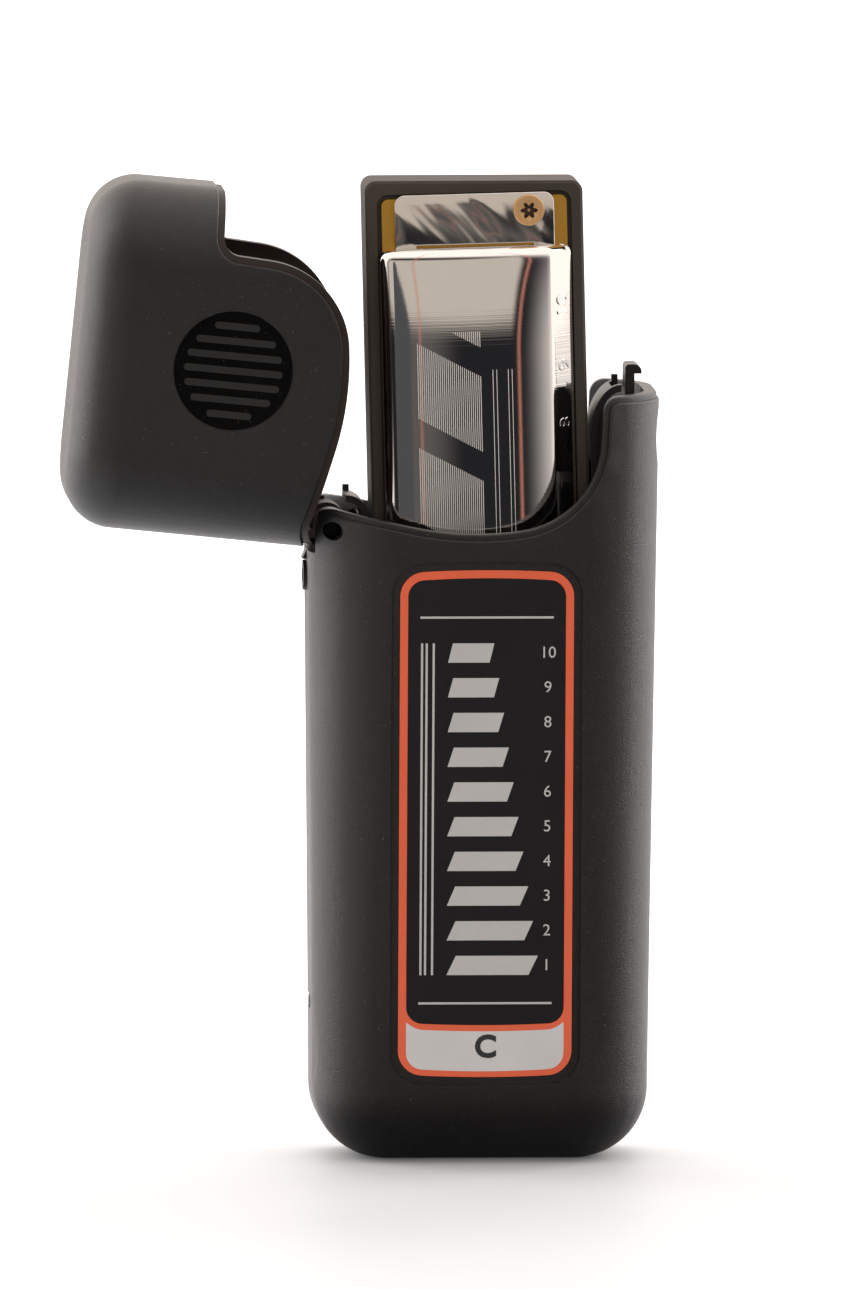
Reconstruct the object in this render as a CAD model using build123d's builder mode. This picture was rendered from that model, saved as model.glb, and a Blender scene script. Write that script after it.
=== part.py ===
from build123d import *
import os
from math import asin, atan2, cos, degrees, hypot, radians, sin, sqrt, tan

os.makedirs("parts", exist_ok=True)

# Flip-top harmonica case with its ten-hole harmonica, in millimetres.
# Origin: centre of the flat foot. +X is the latch side, -Y the label side, +Z up.
# The lid stands open and the harmonica stands raised in its pocket.

# ---- case body ----
foot_width = 43.1
foot_depth = 26.6
foot_corner = 9.6
foot_fillet = 9.3
draft = 0.7
wall = 2.0
ear_top = 99.4
rim_low = 81.7
dip_radius = 40.0
dip_turn = 8.0
bowl_radius = 12.0
ear_lean = 3.0
ear_width = 7.7
ear_corner = 2.0
rim_band = 0.8
rim_inset = 0.35
rim_round = 0.25

# ---- hinge ----
hinge_z = 81.9
hinge_inset = 2.83
pin_radius = 1.15
pin_clearance = 0.05
pin_recess = 0.9
pin_chamfer = 0.25
lug_wall = 1.1
knuckle_radius = 2.4
notch_half = 7.6
notch_gap = 0.75
notch_corner = 0.5
swing_gap = 0.3
side_gap = 0.3
open_angle = 84.5

# ---- hinge spring ----
spring_wire = 0.5
spring_turns = 5
spring_pitch = 0.75
spring_fit = 0.15
spring_zone_half = 2.7
lid_leg = 5.6
lid_leg_fall = 10.5
body_leg = 5.6
spring_rest_height = 1.6

# ---- lid ----
case_height = 116.7
lid_fillet = 6.5
lid_draft = 0.15
lid_wall = 1.5
lid_liner_wall = 0.95
liner_fit = 0.05
parting_gap = 0.3
lid_lip = 0.9
lip_inset = 0.4
badge_radius = 7.7
badge_z = 97.0
badge_recess = 0.5
badge_thick = 0.2
badge_relief = 0.2
badge_fit = 0.1
badge_bars = 7
badge_bar_pitch = 1.9
badge_bar_width = 0.9
badge_bar_reach = 6.4

# ---- label ----
label_width = 22.4
label_height = 64.9
label_bow = 0.4
label_corner = 3.0
label_z = 44.3
label_margin = 1.1
label_recess = 0.4
label_thick = 0.15

# ---- latch ----
dish_z = 93.5
dish_radius = 18.0
dish_depth = 0.45
button_depth_y = 5.6
button_height = 5.2
button_corner = 1.2
button_fit = 0.15
flange_lip = 0.7
flange_thick = 0.9
flange_gap = 0.1
button_sink = 0.15
button_edge = 0.4
hook_thick = 1.2
hook_width = 5.0
hook_rise = 3.2
hook_grip = 0.45
hook_slack = 0.2
hook_round = 0.5
beak_round = 0.95
hook_room = 0.3
ledge_height = 1.5
window_width = 6.4
window_height = 2.6
latch_travel = 1.5
latch_seat_z = 88.0
guide_wall = 0.9
guide_gap = 0.1
guide_top = 97.0
guide_reach = 3.6
latch_coil_z = 91.5
latch_coil_radius = 1.2
latch_coil_wire = 0.35
latch_coil_turns = 4

# ---- pocket liner ----
sleeve_wall = 0.9
sleeve_front = 1.0
sleeve_drop = 1.2
sleeve_foot = 10.0
left_shoulder = 3.0
left_shoulder_top = 85.9
right_shoulder_wide = 4.0
right_shoulder_tall = 6.7
right_shoulder_top = 100.1
shoulder_half = 4.0
post_thick = 0.8
post_start = 2.7
post_end = 4.0
post_rise = 0.7
boss_radius = 1.95
boss_rise = 0.45
boss_z = 75.2
lower_screw_z = 20.3
dimple_radius = 1.45
dimple_depth = 0.5
screw_head = 0.9
screw_head_thick = 0.8
screw_shank = 0.6
screw_fit = 0.05
screw_sink = 0.6
screw_length = 5.2
screw_socket = 0.5
screw_post = 1.3
stop_half = 1.5
stop_rise = 0.6
stop_height = 1.35

# ---- harmonica ----
comb_width = 28.1
comb_length = 102.0
comb_corner = 1.4
comb_slope = 0.35
comb_thick = 9.4
comb_rim = 1.5
comb_bevel = 0.35
plate_groove = 0.6
plate_thick = 1.05
plate_corner = 0.9
plate_sink = 0.05
hole_count = 10
hole_pitch = 7.6
hole_width = 3.9
hole_height = 5.0
channel_width = 5.4
channel_margin = 0.8
reed_width = 2.1
reed_slot_gap = 0.1
reed_thick = 0.25
reed_long = 16.4
reed_short = 10.5
reed_root = 2.4
rivet_radius = 0.7
rivet_rise = 0.45
cover_sheet = 0.5
cover_left = -12.1
cover_right = 12.4
cover_end = 8.4
crown_height = 5.3
bevel_width = 2.6
bevel_height = 3.2
crown_roll = 2.0
crown_left = 4.3
back_gap = 1.6
back_gap_end = 4.0
end_fillet = 1.6
tab_half = 10.3
tab_margin = 1.6
tab_corner = 2.0
tab_slot_half = 7.6
tab_slot = 0.55
cover_screw_x = 7.0
cover_screw_inset = 3.9
cover_screw_head = 2.0
cover_screw_rise = 0.8
cover_screw_shank = 1.0
lobe_ring = 0.65
lobe_radius = 0.36
lobe_depth = 0.5
nut_radius = 2.2
nut_thick = 1.2
plate_screw_head = 1.1
plate_screw_rise = 0.5
plate_screw_x = 9.9
plate_screw_shank = 0.75
plate_screw_rows = 3
plate_screw_pitch = 30.4

# ---- how the harmonica stands in the pocket ----
harp_lean = 1.6
harp_mouth_x = -0.2
harp_mouth_z = 84.0
harp_side_gap = 0.3
harp_raised_z = 24.6

# ---- derived places ----
lean = radians(harp_lean)
slope_rise = tan(radians(draft))


def half_width(z):
    return foot_width / 2 + z * slope_rise


def half_depth(z):
    return foot_depth / 2 + z * slope_rise


def harp_centre(z):
    return harp_mouth_x - (z - harp_mouth_z) * tan(lean)


def cheek_right(z):
    """The pocket's latch-side face, which leans with the harmonica."""
    return harp_centre(z) + comb_width / 2 / cos(lean) + harp_side_gap


reach = foot_width
hinge_x = hinge_inset - half_width(hinge_z)
rim_x = half_width(ear_top) - ear_width
ear_side = radians(ear_lean)
turn_over = radians(dip_turn)
dip_z = rim_low + dip_radius
bowl_z = dip_z - (dip_radius - bowl_radius) * cos(turn_over)
ear_foot_z = bowl_z - bowl_radius * sin(ear_side)
bowl_x = rim_x - (ear_top - ear_foot_z) * tan(ear_side) - bowl_radius * cos(ear_side)
dip_x = bowl_x - (dip_radius - bowl_radius) * sin(turn_over)
pin_hole = pin_radius + pin_clearance
lid_half_width = (half_width(hinge_z) + half_width(ear_top)) / 2
lid_half_depth = (half_depth(hinge_z) + half_depth(ear_top)) / 2
lid_corner = foot_corner + lid_half_depth - foot_depth / 2
lid_low = rim_low - 2 * wall
liner_inset = lid_wall + liner_fit
lid_inside = liner_inset + lid_liner_wall
spring_radius = pin_radius + spring_fit + spring_wire / 2
spring_rest_z = hinge_z - body_leg
spring_room = knuckle_radius + swing_gap
knuckle_half = notch_half - side_gap
tongue_rise = parting_gap + lid_lip + hinge_inset - swing_gap
notch_floor = hinge_z - knuckle_radius - notch_gap
dish_face = half_width(dish_z) - dish_depth
hook_right = half_width(dish_z) - wall - flange_gap - flange_thick
hook_left = hook_right - hook_thick
hook_top = ear_top + hook_rise
beak_tip = lid_half_width - lid_inside + hook_grip
beak_z = ear_top + parting_gap + ledge_height + hook_slack

# The rim runs straight between the round over the hinge and the shallow dip at the mouth:
# the line that touches both circles.
apart = hypot(dip_x - hinge_x, dip_z - hinge_z)
rise = atan2(dip_z - hinge_z, dip_x - hinge_x)
rim_slope = asin((hinge_inset + dip_radius) / apart) - rise


def tub(inset, floor, top, round_foot):
    """The case body's outside, moved in by inset, from floor to top."""
    grow = floor * slope_rise - inset
    with BuildPart() as block:
        with BuildSketch(Plane.XY.offset(floor)):
            RectangleRounded(foot_width + 2 * grow, foot_depth + 2 * grow, foot_corner + grow)
        extrude(amount=top - floor, taper=-draft)
        if round_foot:
            fillet(block.faces().sort_by(Axis.Z)[0].edges(), foot_fillet - inset)
    return block.part


def above_rim(drop):
    """All the space above a curve that runs drop below the rim, seen from the front."""
    hinge_round = hinge_inset - drop
    along = Vector(cos(rim_slope), -sin(rim_slope))
    up = Vector(sin(rim_slope), cos(rim_slope))
    crest = Vector(hinge_x, hinge_z) + up * hinge_round
    dip_start = Vector(dip_x, dip_z) - up * (dip_radius + drop)
    ear_z = ear_top - drop
    ear_x = rim_x + drop * cos(ear_side) - drop * (1 - sin(ear_side)) * tan(ear_side)
    with BuildPart() as space:
        with BuildSketch(Plane.XZ) as outline:
            with BuildLine():
                flank = Line((-reach, hinge_z), (hinge_x - hinge_round, hinge_z))
                CenterArc((hinge_x, hinge_z), hinge_round, 180, -90 - degrees(rim_slope))
                Line(crest, dip_start)
                dip = JernArc(dip_start, along, dip_radius + drop, degrees(rim_slope) + dip_turn)
                bowl = JernArc(dip @ 1, dip % 1, bowl_radius + drop, 90 - dip_turn - ear_lean)
                Polyline(
                    bowl @ 1,
                    (ear_x, ear_z),
                    (reach, ear_z),
                    (reach, 2 * case_height),
                    (-reach, 2 * case_height),
                    flank @ 0,
                )
            make_face()
            ear = outline.vertices().sort_by_distance((ear_x, ear_z, 0))[0]
            fillet(ear, ear_corner - drop)
        extrude(amount=reach, both=True)
    return space.part


def cap(inset):
    """The lid's outside, moved in by inset, closed on top."""
    with BuildPart() as block:
        with BuildSketch(Plane.XY.offset(lid_low)):
            RectangleRounded(
                2 * (lid_half_width - inset), 2 * (lid_half_depth - inset), lid_corner - inset
            )
        extrude(amount=case_height - inset - lid_low, taper=lid_draft)
        fillet(block.faces().sort_by(Axis.Z)[-1].edges(), lid_fillet - inset)
    return block.part


def front_plane(z, sink):
    """The drafted front face of the case body at height z, sunk into the wall."""
    lean_out = radians(draft)
    return Plane(
        origin=(0, -half_depth(z), z), x_dir=(1, 0, 0), z_dir=(0, -cos(lean_out), -sin(lean_out))
    ).offset(-sink)


def bowed_panel(width, height, bow, corner):
    """A rounded panel whose short ends bow outward."""
    with BuildSketch() as panel:
        with BuildLine():
            foot = ThreePointArc((-width / 2, -height / 2), (0, -height / 2 - bow), (width / 2, -height / 2))
            head = ThreePointArc((width / 2, height / 2), (0, height / 2 + bow), (-width / 2, height / 2))
            Line(foot @ 1, head @ 0)
            Line(head @ 1, foot @ 0)
        make_face()
        fillet(panel.vertices(), corner)
    return panel.sketch


def hinge_side(z, rise):
    """A plane on the hinge-side wall at height z, rise outside it, looking out."""
    return Plane(origin=(-half_width(z) - rise, 0, z), x_dir=(0, 1, 0), z_dir=(-1, 0, 0))


def spring_coil(radius, wire, pitch, turns, first_leg, last_leg):
    """A coil up the Z axis from (radius, 0, 0), its ends run out straight as legs."""
    with BuildPart() as spring:
        with BuildLine() as path:
            turn = Helix(pitch, turns * pitch, radius)
            if first_leg:
                Line((turn @ 0) - (turn % 0) * first_leg, turn @ 0)
            if last_leg:
                Line(turn @ 1, (turn @ 1) + (turn % 1) * last_leg)
        start = path.wire()
        with BuildSketch(Plane(origin=start @ 0, z_dir=start % 0)):
            Circle(wire / 2)
        sweep(path=start)
    return spring.part


# ---- body_shell: one moulding with a bowl-shaped mouth, a latch ear and hinge lugs ----
left_wall = -half_width(boss_z)
with BuildPart() as lugs:
    for side in (-1, 1):
        with BuildSketch(Plane.XZ.offset(side * notch_half)):
            with Locations((hinge_x, hinge_z)):
                Circle(pin_hole + lug_wall)
        extrude(amount=side * foot_depth / 2)
    add(tub(rim_inset, 0, ear_top, False), mode=Mode.INTERSECT)

with BuildPart() as lip:
    add(tub(rim_inset, foot_fillet, ear_top, False))
    add(above_rim(0), mode=Mode.SUBTRACT)
    fillet(lip.edges(Select.NEW), rim_round)

with BuildPart() as body_shell:
    add(tub(0, 0, ear_top, True))
    add(above_rim(rim_band), mode=Mode.SUBTRACT)
    fillet(body_shell.edges(Select.NEW), rim_round)
    add(lip.part)
    add(tub(wall, wall, ear_top + wall, True), mode=Mode.SUBTRACT)
    add(lugs.part)
    # boss for the upper liner screw and the ramp that the open lid comes to rest on
    with BuildSketch(Plane.YZ.offset(left_wall - boss_rise)):
        with Locations((0, boss_z)):
            Circle(boss_radius)
    extrude(amount=boss_rise + wall / 2)
    with BuildSketch(Plane.XZ):
        with BuildLine():
            ramp_foot = notch_floor - stop_height
            Polyline(
                (left_wall + wall / 2, notch_floor),
                (left_wall, notch_floor),
                (left_wall - stop_rise, ramp_foot),
                (left_wall + wall / 2, ramp_foot),
                close=True,
            )
        make_face()
    extrude(amount=stop_half, both=True)
    # gap in the hinge side for the lid's knuckles
    with BuildSketch(Plane.YZ.offset(-reach)) as notch:
        with Locations((0, notch_floor)):
            Rectangle(2 * notch_half, case_height, align=(Align.CENTER, Align.MIN))
        fillet(notch.vertices().group_by(Axis.Z)[0], notch_corner)
    extrude(amount=reach + hinge_x + knuckle_radius + swing_gap, mode=Mode.SUBTRACT)
    # hinge pin holes
    with BuildSketch(Plane.XZ):
        with Locations((hinge_x, hinge_z)):
            Circle(pin_hole)
    extrude(amount=foot_depth, both=True, mode=Mode.SUBTRACT)
    # thumb dish and the opening for the latch button
    with BuildSketch(Plane.XZ):
        with Locations((dish_face + dish_radius, dish_z)):
            Circle(dish_radius)
    extrude(amount=foot_depth, both=True, mode=Mode.SUBTRACT)
    with BuildSketch(Plane.YZ.offset(half_width(dish_z) - 2 * wall)):
        with Locations((0, dish_z)):
            RectangleRounded(
                button_depth_y + 2 * button_fit, button_height + 2 * button_fit, button_corner + button_fit
            )
    extrude(amount=3 * wall, mode=Mode.SUBTRACT)
    # screw holes in the hinge side: the upper one in its boss, the lower one in a dimple
    for screw_z, mouth in ((boss_z, boss_rise), (lower_screw_z, 0)):
        with Locations(hinge_side(screw_z, mouth)):
            CounterBoreHole(
                screw_shank + screw_fit, screw_head + screw_fit, mouth + screw_sink, 2 * wall
            )
    with BuildSketch(hinge_side(lower_screw_z, 0)):
        Circle(dimple_radius)
    extrude(amount=-dimple_depth, mode=Mode.SUBTRACT)
    # sunk panel for the label
    with BuildSketch(front_plane(label_z, 0)):
        add(
            bowed_panel(
                label_width + 2 * label_margin,
                label_height + 2 * label_margin,
                label_bow,
                label_corner + label_margin,
            )
        )
    extrude(amount=-label_recess, mode=Mode.SUBTRACT)
    # rib that the hinge spring's lower leg leans on
    with BuildSketch(Plane.XZ):
        with Locations((hinge_x + spring_radius - spring_wire / 2 - spring_fit / 2, spring_rest_z)):
            Rectangle(wall + spring_radius, spring_rest_height, align=(Align.MAX, Align.MIN))
    extrude(amount=spring_zone_half, both=True)
body_shell.part.label = "body_shell"
export_step(body_shell.part, "parts/body_shell.step")

# ---- body_liner: pocket sleeve with two rounded shoulders, carried by the shell's side screws ----
cheek_left = harp_centre(left_shoulder_top) - comb_width / 2 / cos(lean) - harp_side_gap
left_bend_z = left_shoulder_top - left_shoulder
right_bend_z = right_shoulder_top - right_shoulder_tall
shoulder_right = cheek_right(right_bend_z) + right_shoulder_wide
left_face = [
    (cheek_left, sleeve_foot),
    (cheek_left, left_bend_z),
    (cheek_left - sleeve_wall, left_bend_z),
    (cheek_left - sleeve_wall, sleeve_foot),
]
right_face = [
    (cheek_right(sleeve_foot), sleeve_foot),
    (cheek_right(right_bend_z), right_bend_z),
    (cheek_right(right_bend_z) + sleeve_wall, right_bend_z),
    (cheek_right(sleeve_foot) + sleeve_wall, sleeve_foot),
]
with BuildPart() as sleeve_walls:
    with BuildSketch(Plane.XZ):
        with BuildLine():
            Polyline(left_face[3], right_face[3], right_face[2], left_face[2], close=True)
        make_face()
    extrude(amount=foot_depth, both=True)
    add(tub(wall + liner_fit + sleeve_front, wall, ear_top + wall, False), mode=Mode.SUBTRACT)
    with BuildSketch(Plane.XZ):
        for cheek in (left_face, right_face):
            with BuildLine():
                Polyline(*cheek, close=True)
            make_face()
    extrude(amount=foot_depth, both=True)
    add(above_rim(sleeve_drop), mode=Mode.SUBTRACT)
    add(tub(wall + liner_fit, wall, ear_top, False), mode=Mode.INTERSECT)

with BuildPart() as body_liner:
    add(sleeve_walls.part)
    with BuildSketch(Plane.XZ):
        for cheek in (left_face, right_face):
            with BuildLine():
                Polyline(*cheek, close=True)
            make_face()
    extrude(amount=shoulder_half, both=True)
    with BuildSketch(Plane.XZ):
        with Locations((cheek_left - left_shoulder, left_bend_z)):
            Circle(left_shoulder)
            Circle(left_shoulder - sleeve_wall, mode=Mode.SUBTRACT)
            Rectangle(reach, reach, align=Align.MIN, mode=Mode.INTERSECT)
    extrude(amount=shoulder_half, both=True)
    with BuildSketch(Plane.XZ):
        with Locations((shoulder_right, right_bend_z)):
            Ellipse(right_shoulder_wide, right_shoulder_tall)
            Ellipse(
                right_shoulder_wide - sleeve_wall, right_shoulder_tall - sleeve_wall, mode=Mode.SUBTRACT
            )
            Rectangle(reach, reach, align=(Align.MAX, Align.MIN), mode=Mode.INTERSECT)
    extrude(amount=shoulder_half, both=True)
    # posts at the back end of each shoulder
    for post_x, post_top in (
        (cheek_left - left_shoulder, left_shoulder_top),
        (shoulder_right - post_thick, right_shoulder_top),
    ):
        with BuildSketch(Plane.XY.offset(post_top - sleeve_wall)):
            with Locations((post_x, post_start)):
                Rectangle(post_thick, post_end - post_start, align=Align.MIN)
        extrude(amount=sleeve_wall + post_rise)
    # guide that the latch hook slides in
    with BuildSketch(Plane.YZ.offset(cheek_right(latch_seat_z) + sleeve_wall / 2)):
        with Locations((0, latch_seat_z - guide_wall)):
            Rectangle(
                hook_width + 2 * (guide_gap + guide_wall),
                guide_top - latch_seat_z + guide_wall,
                align=(Align.CENTER, Align.MIN),
            )
        with Locations((0, latch_seat_z)):
            Rectangle(
                hook_width + 2 * guide_gap, reach, align=(Align.CENTER, Align.MIN), mode=Mode.SUBTRACT
            )
    extrude(amount=guide_reach)
    # slot in the tall shoulder that the hook swings back into
    with BuildSketch(Plane.XY.offset(right_bend_z)):
        with Locations((hook_left - latch_travel - hook_room, 0)):
            Rectangle(reach, hook_width + 2 * guide_gap, align=(Align.MIN, Align.CENTER))
    extrude(amount=reach, mode=Mode.SUBTRACT)
    # posts that take the side screws and seat the sleeve on the shell
    for screw_z in (boss_z, lower_screw_z):
        post_seat = half_width(screw_z) - wall - liner_fit
        with BuildSketch(Plane.YZ.offset(-post_seat)):
            with Locations((0, screw_z)):
                Circle(screw_post)
                Circle(screw_shank + screw_fit, mode=Mode.SUBTRACT)
        extrude(amount=post_seat + cheek_left - sleeve_wall / 2)
body_liner.part.label = "body_liner"
export_step(body_liner.part, "parts/body_liner.step")

# ---- liner_screws: two screws through the hinge-side wall into posts on the sleeve ----
with BuildPart() as liner_screws:
    for screw_z in (boss_z, lower_screw_z):
        with BuildSketch(hinge_side(screw_z, 0).offset(-screw_sink)):
            Circle(screw_head)
        extrude(amount=screw_head_thick)
        with BuildSketch(hinge_side(screw_z, 0).offset(-screw_sink)):
            Circle(screw_shank)
        extrude(amount=-screw_length)
        with BuildSketch(hinge_side(screw_z, 0).offset(screw_head_thick - screw_sink)):
            RegularPolygon(screw_socket, 6)
        extrude(amount=-screw_head_thick / 2, mode=Mode.SUBTRACT)
liner_screws.part.label = "liner_screws"
export_step(liner_screws.part, "parts/liner_screws.step")

# ---- label ----
with BuildPart() as label:
    with BuildSketch(front_plane(label_z, label_recess)):
        add(bowed_panel(label_width, label_height, label_bow, label_corner))
    extrude(amount=label_thick)
label.part.label = "label"
export_step(label.part, "parts/label.step")

# ---- hinge_pin ----
corner_round = foot_corner + hinge_z * slope_rise
corner_x = half_width(hinge_z) - corner_round
corner_y = half_depth(hinge_z) - corner_round
pin_half = corner_y + sqrt(corner_round**2 - (pin_radius - hinge_x - corner_x) ** 2) - pin_recess
with BuildPart() as hinge_pin:
    with BuildSketch(Plane.XZ):
        with Locations((hinge_x, hinge_z)):
            Circle(pin_radius)
    extrude(amount=pin_half, both=True)
    chamfer(hinge_pin.edges().filter_by(GeomType.CIRCLE), pin_chamfer)
hinge_pin.part.label = "hinge_pin"
export_step(hinge_pin.part, "parts/hinge_pin.step")

# ---- hinge_spring: close coil on the pin, one leg on the lid, one on the rib below ----
turns = spring_turns + (90 + lid_leg_fall) / 360
hinge_spring = spring_coil(spring_radius, spring_wire, spring_pitch, turns, body_leg, lid_leg)
hinge_spring.move(
    Plane(
        origin=(hinge_x, turns * spring_pitch / 2, hinge_z), x_dir=(1, 0, 0), z_dir=(0, -1, 0)
    ).location
)
hinge_spring.label = "hinge_spring"
export_step(hinge_spring, "parts/hinge_spring.step")

# ---- latch_hook: beaked post on a runner, pushed inward to let the lid go ----
with BuildPart() as latch_hook:
    with BuildSketch(Plane.XZ) as hook_outline:
        with BuildLine():
            Polyline(
                (hook_left - latch_travel, latch_seat_z + guide_gap),
                (hook_right, latch_seat_z + guide_gap),
                (hook_right, beak_z),
                (beak_tip, beak_z),
                (beak_tip, hook_top),
                (hook_left, hook_top),
                (hook_left, latch_seat_z + guide_gap + hook_thick),
                (hook_left - latch_travel, latch_seat_z + guide_gap + hook_thick),
                close=True,
            )
        make_face()
        crest = hook_outline.vertices().sort_by_distance((hook_left, hook_top, 0))[0]
        fillet(crest, hook_round)
        nose = hook_outline.vertices().sort_by_distance((beak_tip, hook_top, 0))[0]
        fillet(nose, beak_round)
    extrude(amount=hook_width / 2, both=True)
latch_hook.part.label = "latch_hook"
export_step(latch_hook.part, "parts/latch_hook.step")

# ---- latch_button: flanged push button in the thumb dish ----
with BuildPart() as latch_button:
    with BuildSketch(Plane.YZ.offset(hook_right)):
        with Locations((0, dish_z)):
            RectangleRounded(
                button_depth_y + 2 * flange_lip, button_height + 2 * flange_lip, button_corner + flange_lip
            )
    extrude(amount=flange_thick)
    with BuildSketch(Plane.YZ.offset(hook_right)):
        with Locations((0, dish_z)):
            RectangleRounded(button_depth_y, button_height, button_corner)
    extrude(amount=dish_face - button_sink - hook_right)
    fillet(latch_button.faces().sort_by(Axis.X)[-1].edges(), button_edge)
latch_button.part.label = "latch_button"
export_step(latch_button.part, "parts/latch_button.step")

# ---- latch_spring: coil between the sleeve and the hook ----
spring_left = cheek_right(latch_coil_z - latch_coil_radius) + sleeve_wall + latch_coil_wire
latch_coil_length = hook_left - latch_coil_wire - spring_left
latch_spring = spring_coil(
    latch_coil_radius, latch_coil_wire, latch_coil_length / latch_coil_turns, latch_coil_turns, 0, 0
)
latch_spring.move(Plane(origin=(spring_left, 0, latch_coil_z), z_dir=(1, 0, 0)).location)
latch_spring.label = "latch_spring"
export_step(latch_spring, "parts/latch_spring.step")

# ---- lid_shell: outer moulding of the lid, drawn closed ----
lid_edge = -parting_gap - lid_lip
badge_plane = Plane(
    origin=(0, (badge_z - lid_low) * tan(radians(lid_draft)) - lid_half_depth, badge_z),
    x_dir=(1, 0, 0),
    z_dir=(0, -cos(radians(lid_draft)), sin(radians(lid_draft))),
)
with BuildPart() as lid_shell:
    add(cap(0))
    add(above_rim(lid_edge), mode=Mode.INTERSECT)
    fillet(lid_shell.edges(Select.NEW), rim_round)
    add(cap(lid_wall), mode=Mode.SUBTRACT)
    with BuildSketch(badge_plane):
        Circle(badge_radius)
    extrude(amount=-badge_recess, mode=Mode.SUBTRACT)
lid_shell.part.label = "lid_shell"

# ---- lid_liner: inner moulding with the closing lip, the latch ledge and the knuckles ----
with BuildPart() as lip_ring:
    add(cap(lip_inset))
    add(above_rim(lid_edge), mode=Mode.SUBTRACT)
with BuildPart() as lid_liner:
    add(cap(liner_inset))
    add(lip_ring.part)
    add(cap(lid_inside), mode=Mode.SUBTRACT)
    add(above_rim(-parting_gap), mode=Mode.INTERSECT)
    # tongue down to the barrel round the pin
    with BuildSketch(Plane.XZ):
        with Locations((liner_inset - lid_half_width, hinge_z)):
            Rectangle(lid_liner_wall, tongue_rise, align=Align.MIN)
        with Locations((hinge_x, hinge_z)):
            Circle(knuckle_radius)
    extrude(amount=knuckle_half, both=True)
    add(lid_shell.part, mode=Mode.SUBTRACT)
    # room for the spring between the two knuckles
    with BuildSketch(Plane.XZ):
        with Locations((hinge_x, hinge_z)):
            Rectangle(spring_room, 2 * spring_room, align=(Align.MIN, Align.CENTER))
            Rectangle(2 * spring_room, spring_room, align=(Align.CENTER, Align.MAX))
            Circle(spring_radius + spring_wire)
    extrude(amount=spring_zone_half, both=True, mode=Mode.SUBTRACT)
    with BuildSketch(Plane.XZ):
        with Locations((hinge_x, hinge_z)):
            Circle(pin_hole)
    extrude(amount=foot_depth, both=True, mode=Mode.SUBTRACT)
    # window that leaves the ledge for the hook
    with BuildSketch(Plane.YZ.offset(lid_half_width - lid_inside - wall)):
        with Locations((0, ear_top + parting_gap + ledge_height)):
            Rectangle(window_width, window_height, align=(Align.CENTER, Align.MIN))
    extrude(amount=wall + lid_inside - lid_wall, mode=Mode.SUBTRACT)
lid_liner.part.label = "lid_liner"

# ---- lid_badge: disc with a fan of raised bars ----
with BuildPart() as lid_badge:
    with BuildSketch(badge_plane.offset(-badge_recess)):
        Circle(badge_radius - badge_fit)
    extrude(amount=badge_thick)
    with BuildSketch(badge_plane.offset(badge_thick - badge_recess)):
        for bar in range(badge_bars):
            bar_x = (bar - (badge_bars - 1) / 2) * badge_bar_pitch
            bar_long = 2 * sqrt(badge_bar_reach**2 - bar_x**2)
            with Locations((bar_x, 0)):
                SlotOverall(bar_long, badge_bar_width, rotation=90)
    extrude(amount=badge_relief)
lid_badge.part.label = "lid_badge"

# ---- swing the lid open about the pin ----
lid_open = (
    Pos(hinge_x, 0, hinge_z) * Rot(0, -open_angle, 0) * Pos(-hinge_x, 0, -hinge_z)
)
lid_shell.part.move(lid_open)
export_step(lid_shell.part, "parts/lid_shell.step")
lid_liner.part.move(lid_open)
export_step(lid_liner.part, "parts/lid_liner.step")
lid_badge.part.move(lid_open)
export_step(lid_badge.part, "parts/lid_badge.step")

# ---- harmonica, drawn upright with its lower end at the origin ----
middle = comb_length / 2
core_half = comb_thick / 2 - plate_thick - plate_sink
plate_face = core_half + plate_thick
plate_half = comb_width / 2 - comb_rim - plate_groove
channel_length = reed_long + reed_root
channel_right = plate_half - channel_margin
channel_mid = channel_right - channel_length / 2

# ---- comb: ten channels open at the mouth side ----
with BuildPart() as comb:
    with BuildSketch(Plane.XZ) as comb_outline:
        with BuildLine():
            far_side, mouth_side = -comb_width / 2, comb_width / 2
            Polyline(
                (far_side, -comb_slope),
                (mouth_side, comb_slope),
                (mouth_side, comb_length - comb_slope),
                (far_side, comb_length + comb_slope),
                close=True,
            )
        make_face()
        fillet(comb_outline.vertices(), comb_corner)
    extrude(amount=comb_thick / 2, both=True)
    chamfer(comb.faces().filter_by(Axis.Y).edges(), comb_bevel)
    for side in (-1, 1):
        with BuildSketch(Plane.XZ.offset(side * comb_thick / 2)):
            with Locations((0, middle)):
                RectangleRounded(
                    comb_width - 2 * comb_rim, comb_length - 2 * comb_rim, plate_corner + plate_groove
                )
        extrude(amount=-side * (plate_thick + plate_sink), mode=Mode.SUBTRACT)
    with BuildSketch(Plane.XZ):
        with Locations((channel_mid, middle)):
            with GridLocations(0, hole_pitch, 1, hole_count):
                Rectangle(channel_length, channel_width)
    extrude(amount=comb_thick, both=True, mode=Mode.SUBTRACT)
    with BuildSketch(Plane.YZ.offset(channel_mid)):
        with Locations((0, middle)):
            with GridLocations(0, hole_pitch, 1, hole_count):
                Rectangle(hole_height, hole_width)
    extrude(amount=comb_width, mode=Mode.SUBTRACT)
    with BuildSketch(Plane.XZ):
        with Locations((0, middle)):
            with GridLocations(2 * plate_screw_x, plate_screw_pitch, 2, plate_screw_rows):
                Circle(plate_screw_shank + screw_fit)
        with Locations((cover_screw_x, middle)):
            with GridLocations(0, comb_length - 2 * cover_screw_inset, 1, 2):
                Circle(cover_screw_shank + screw_fit)
    extrude(amount=comb_thick, both=True, mode=Mode.SUBTRACT)
comb.part.label = "comb"


def reed_length(row):
    """Reeds shorten evenly from the low end to the high end."""
    return reed_long + (reed_short - reed_long) * row / (hole_count - 1)


def row_z(row):
    return middle + (row - (hole_count - 1) / 2) * hole_pitch


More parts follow.
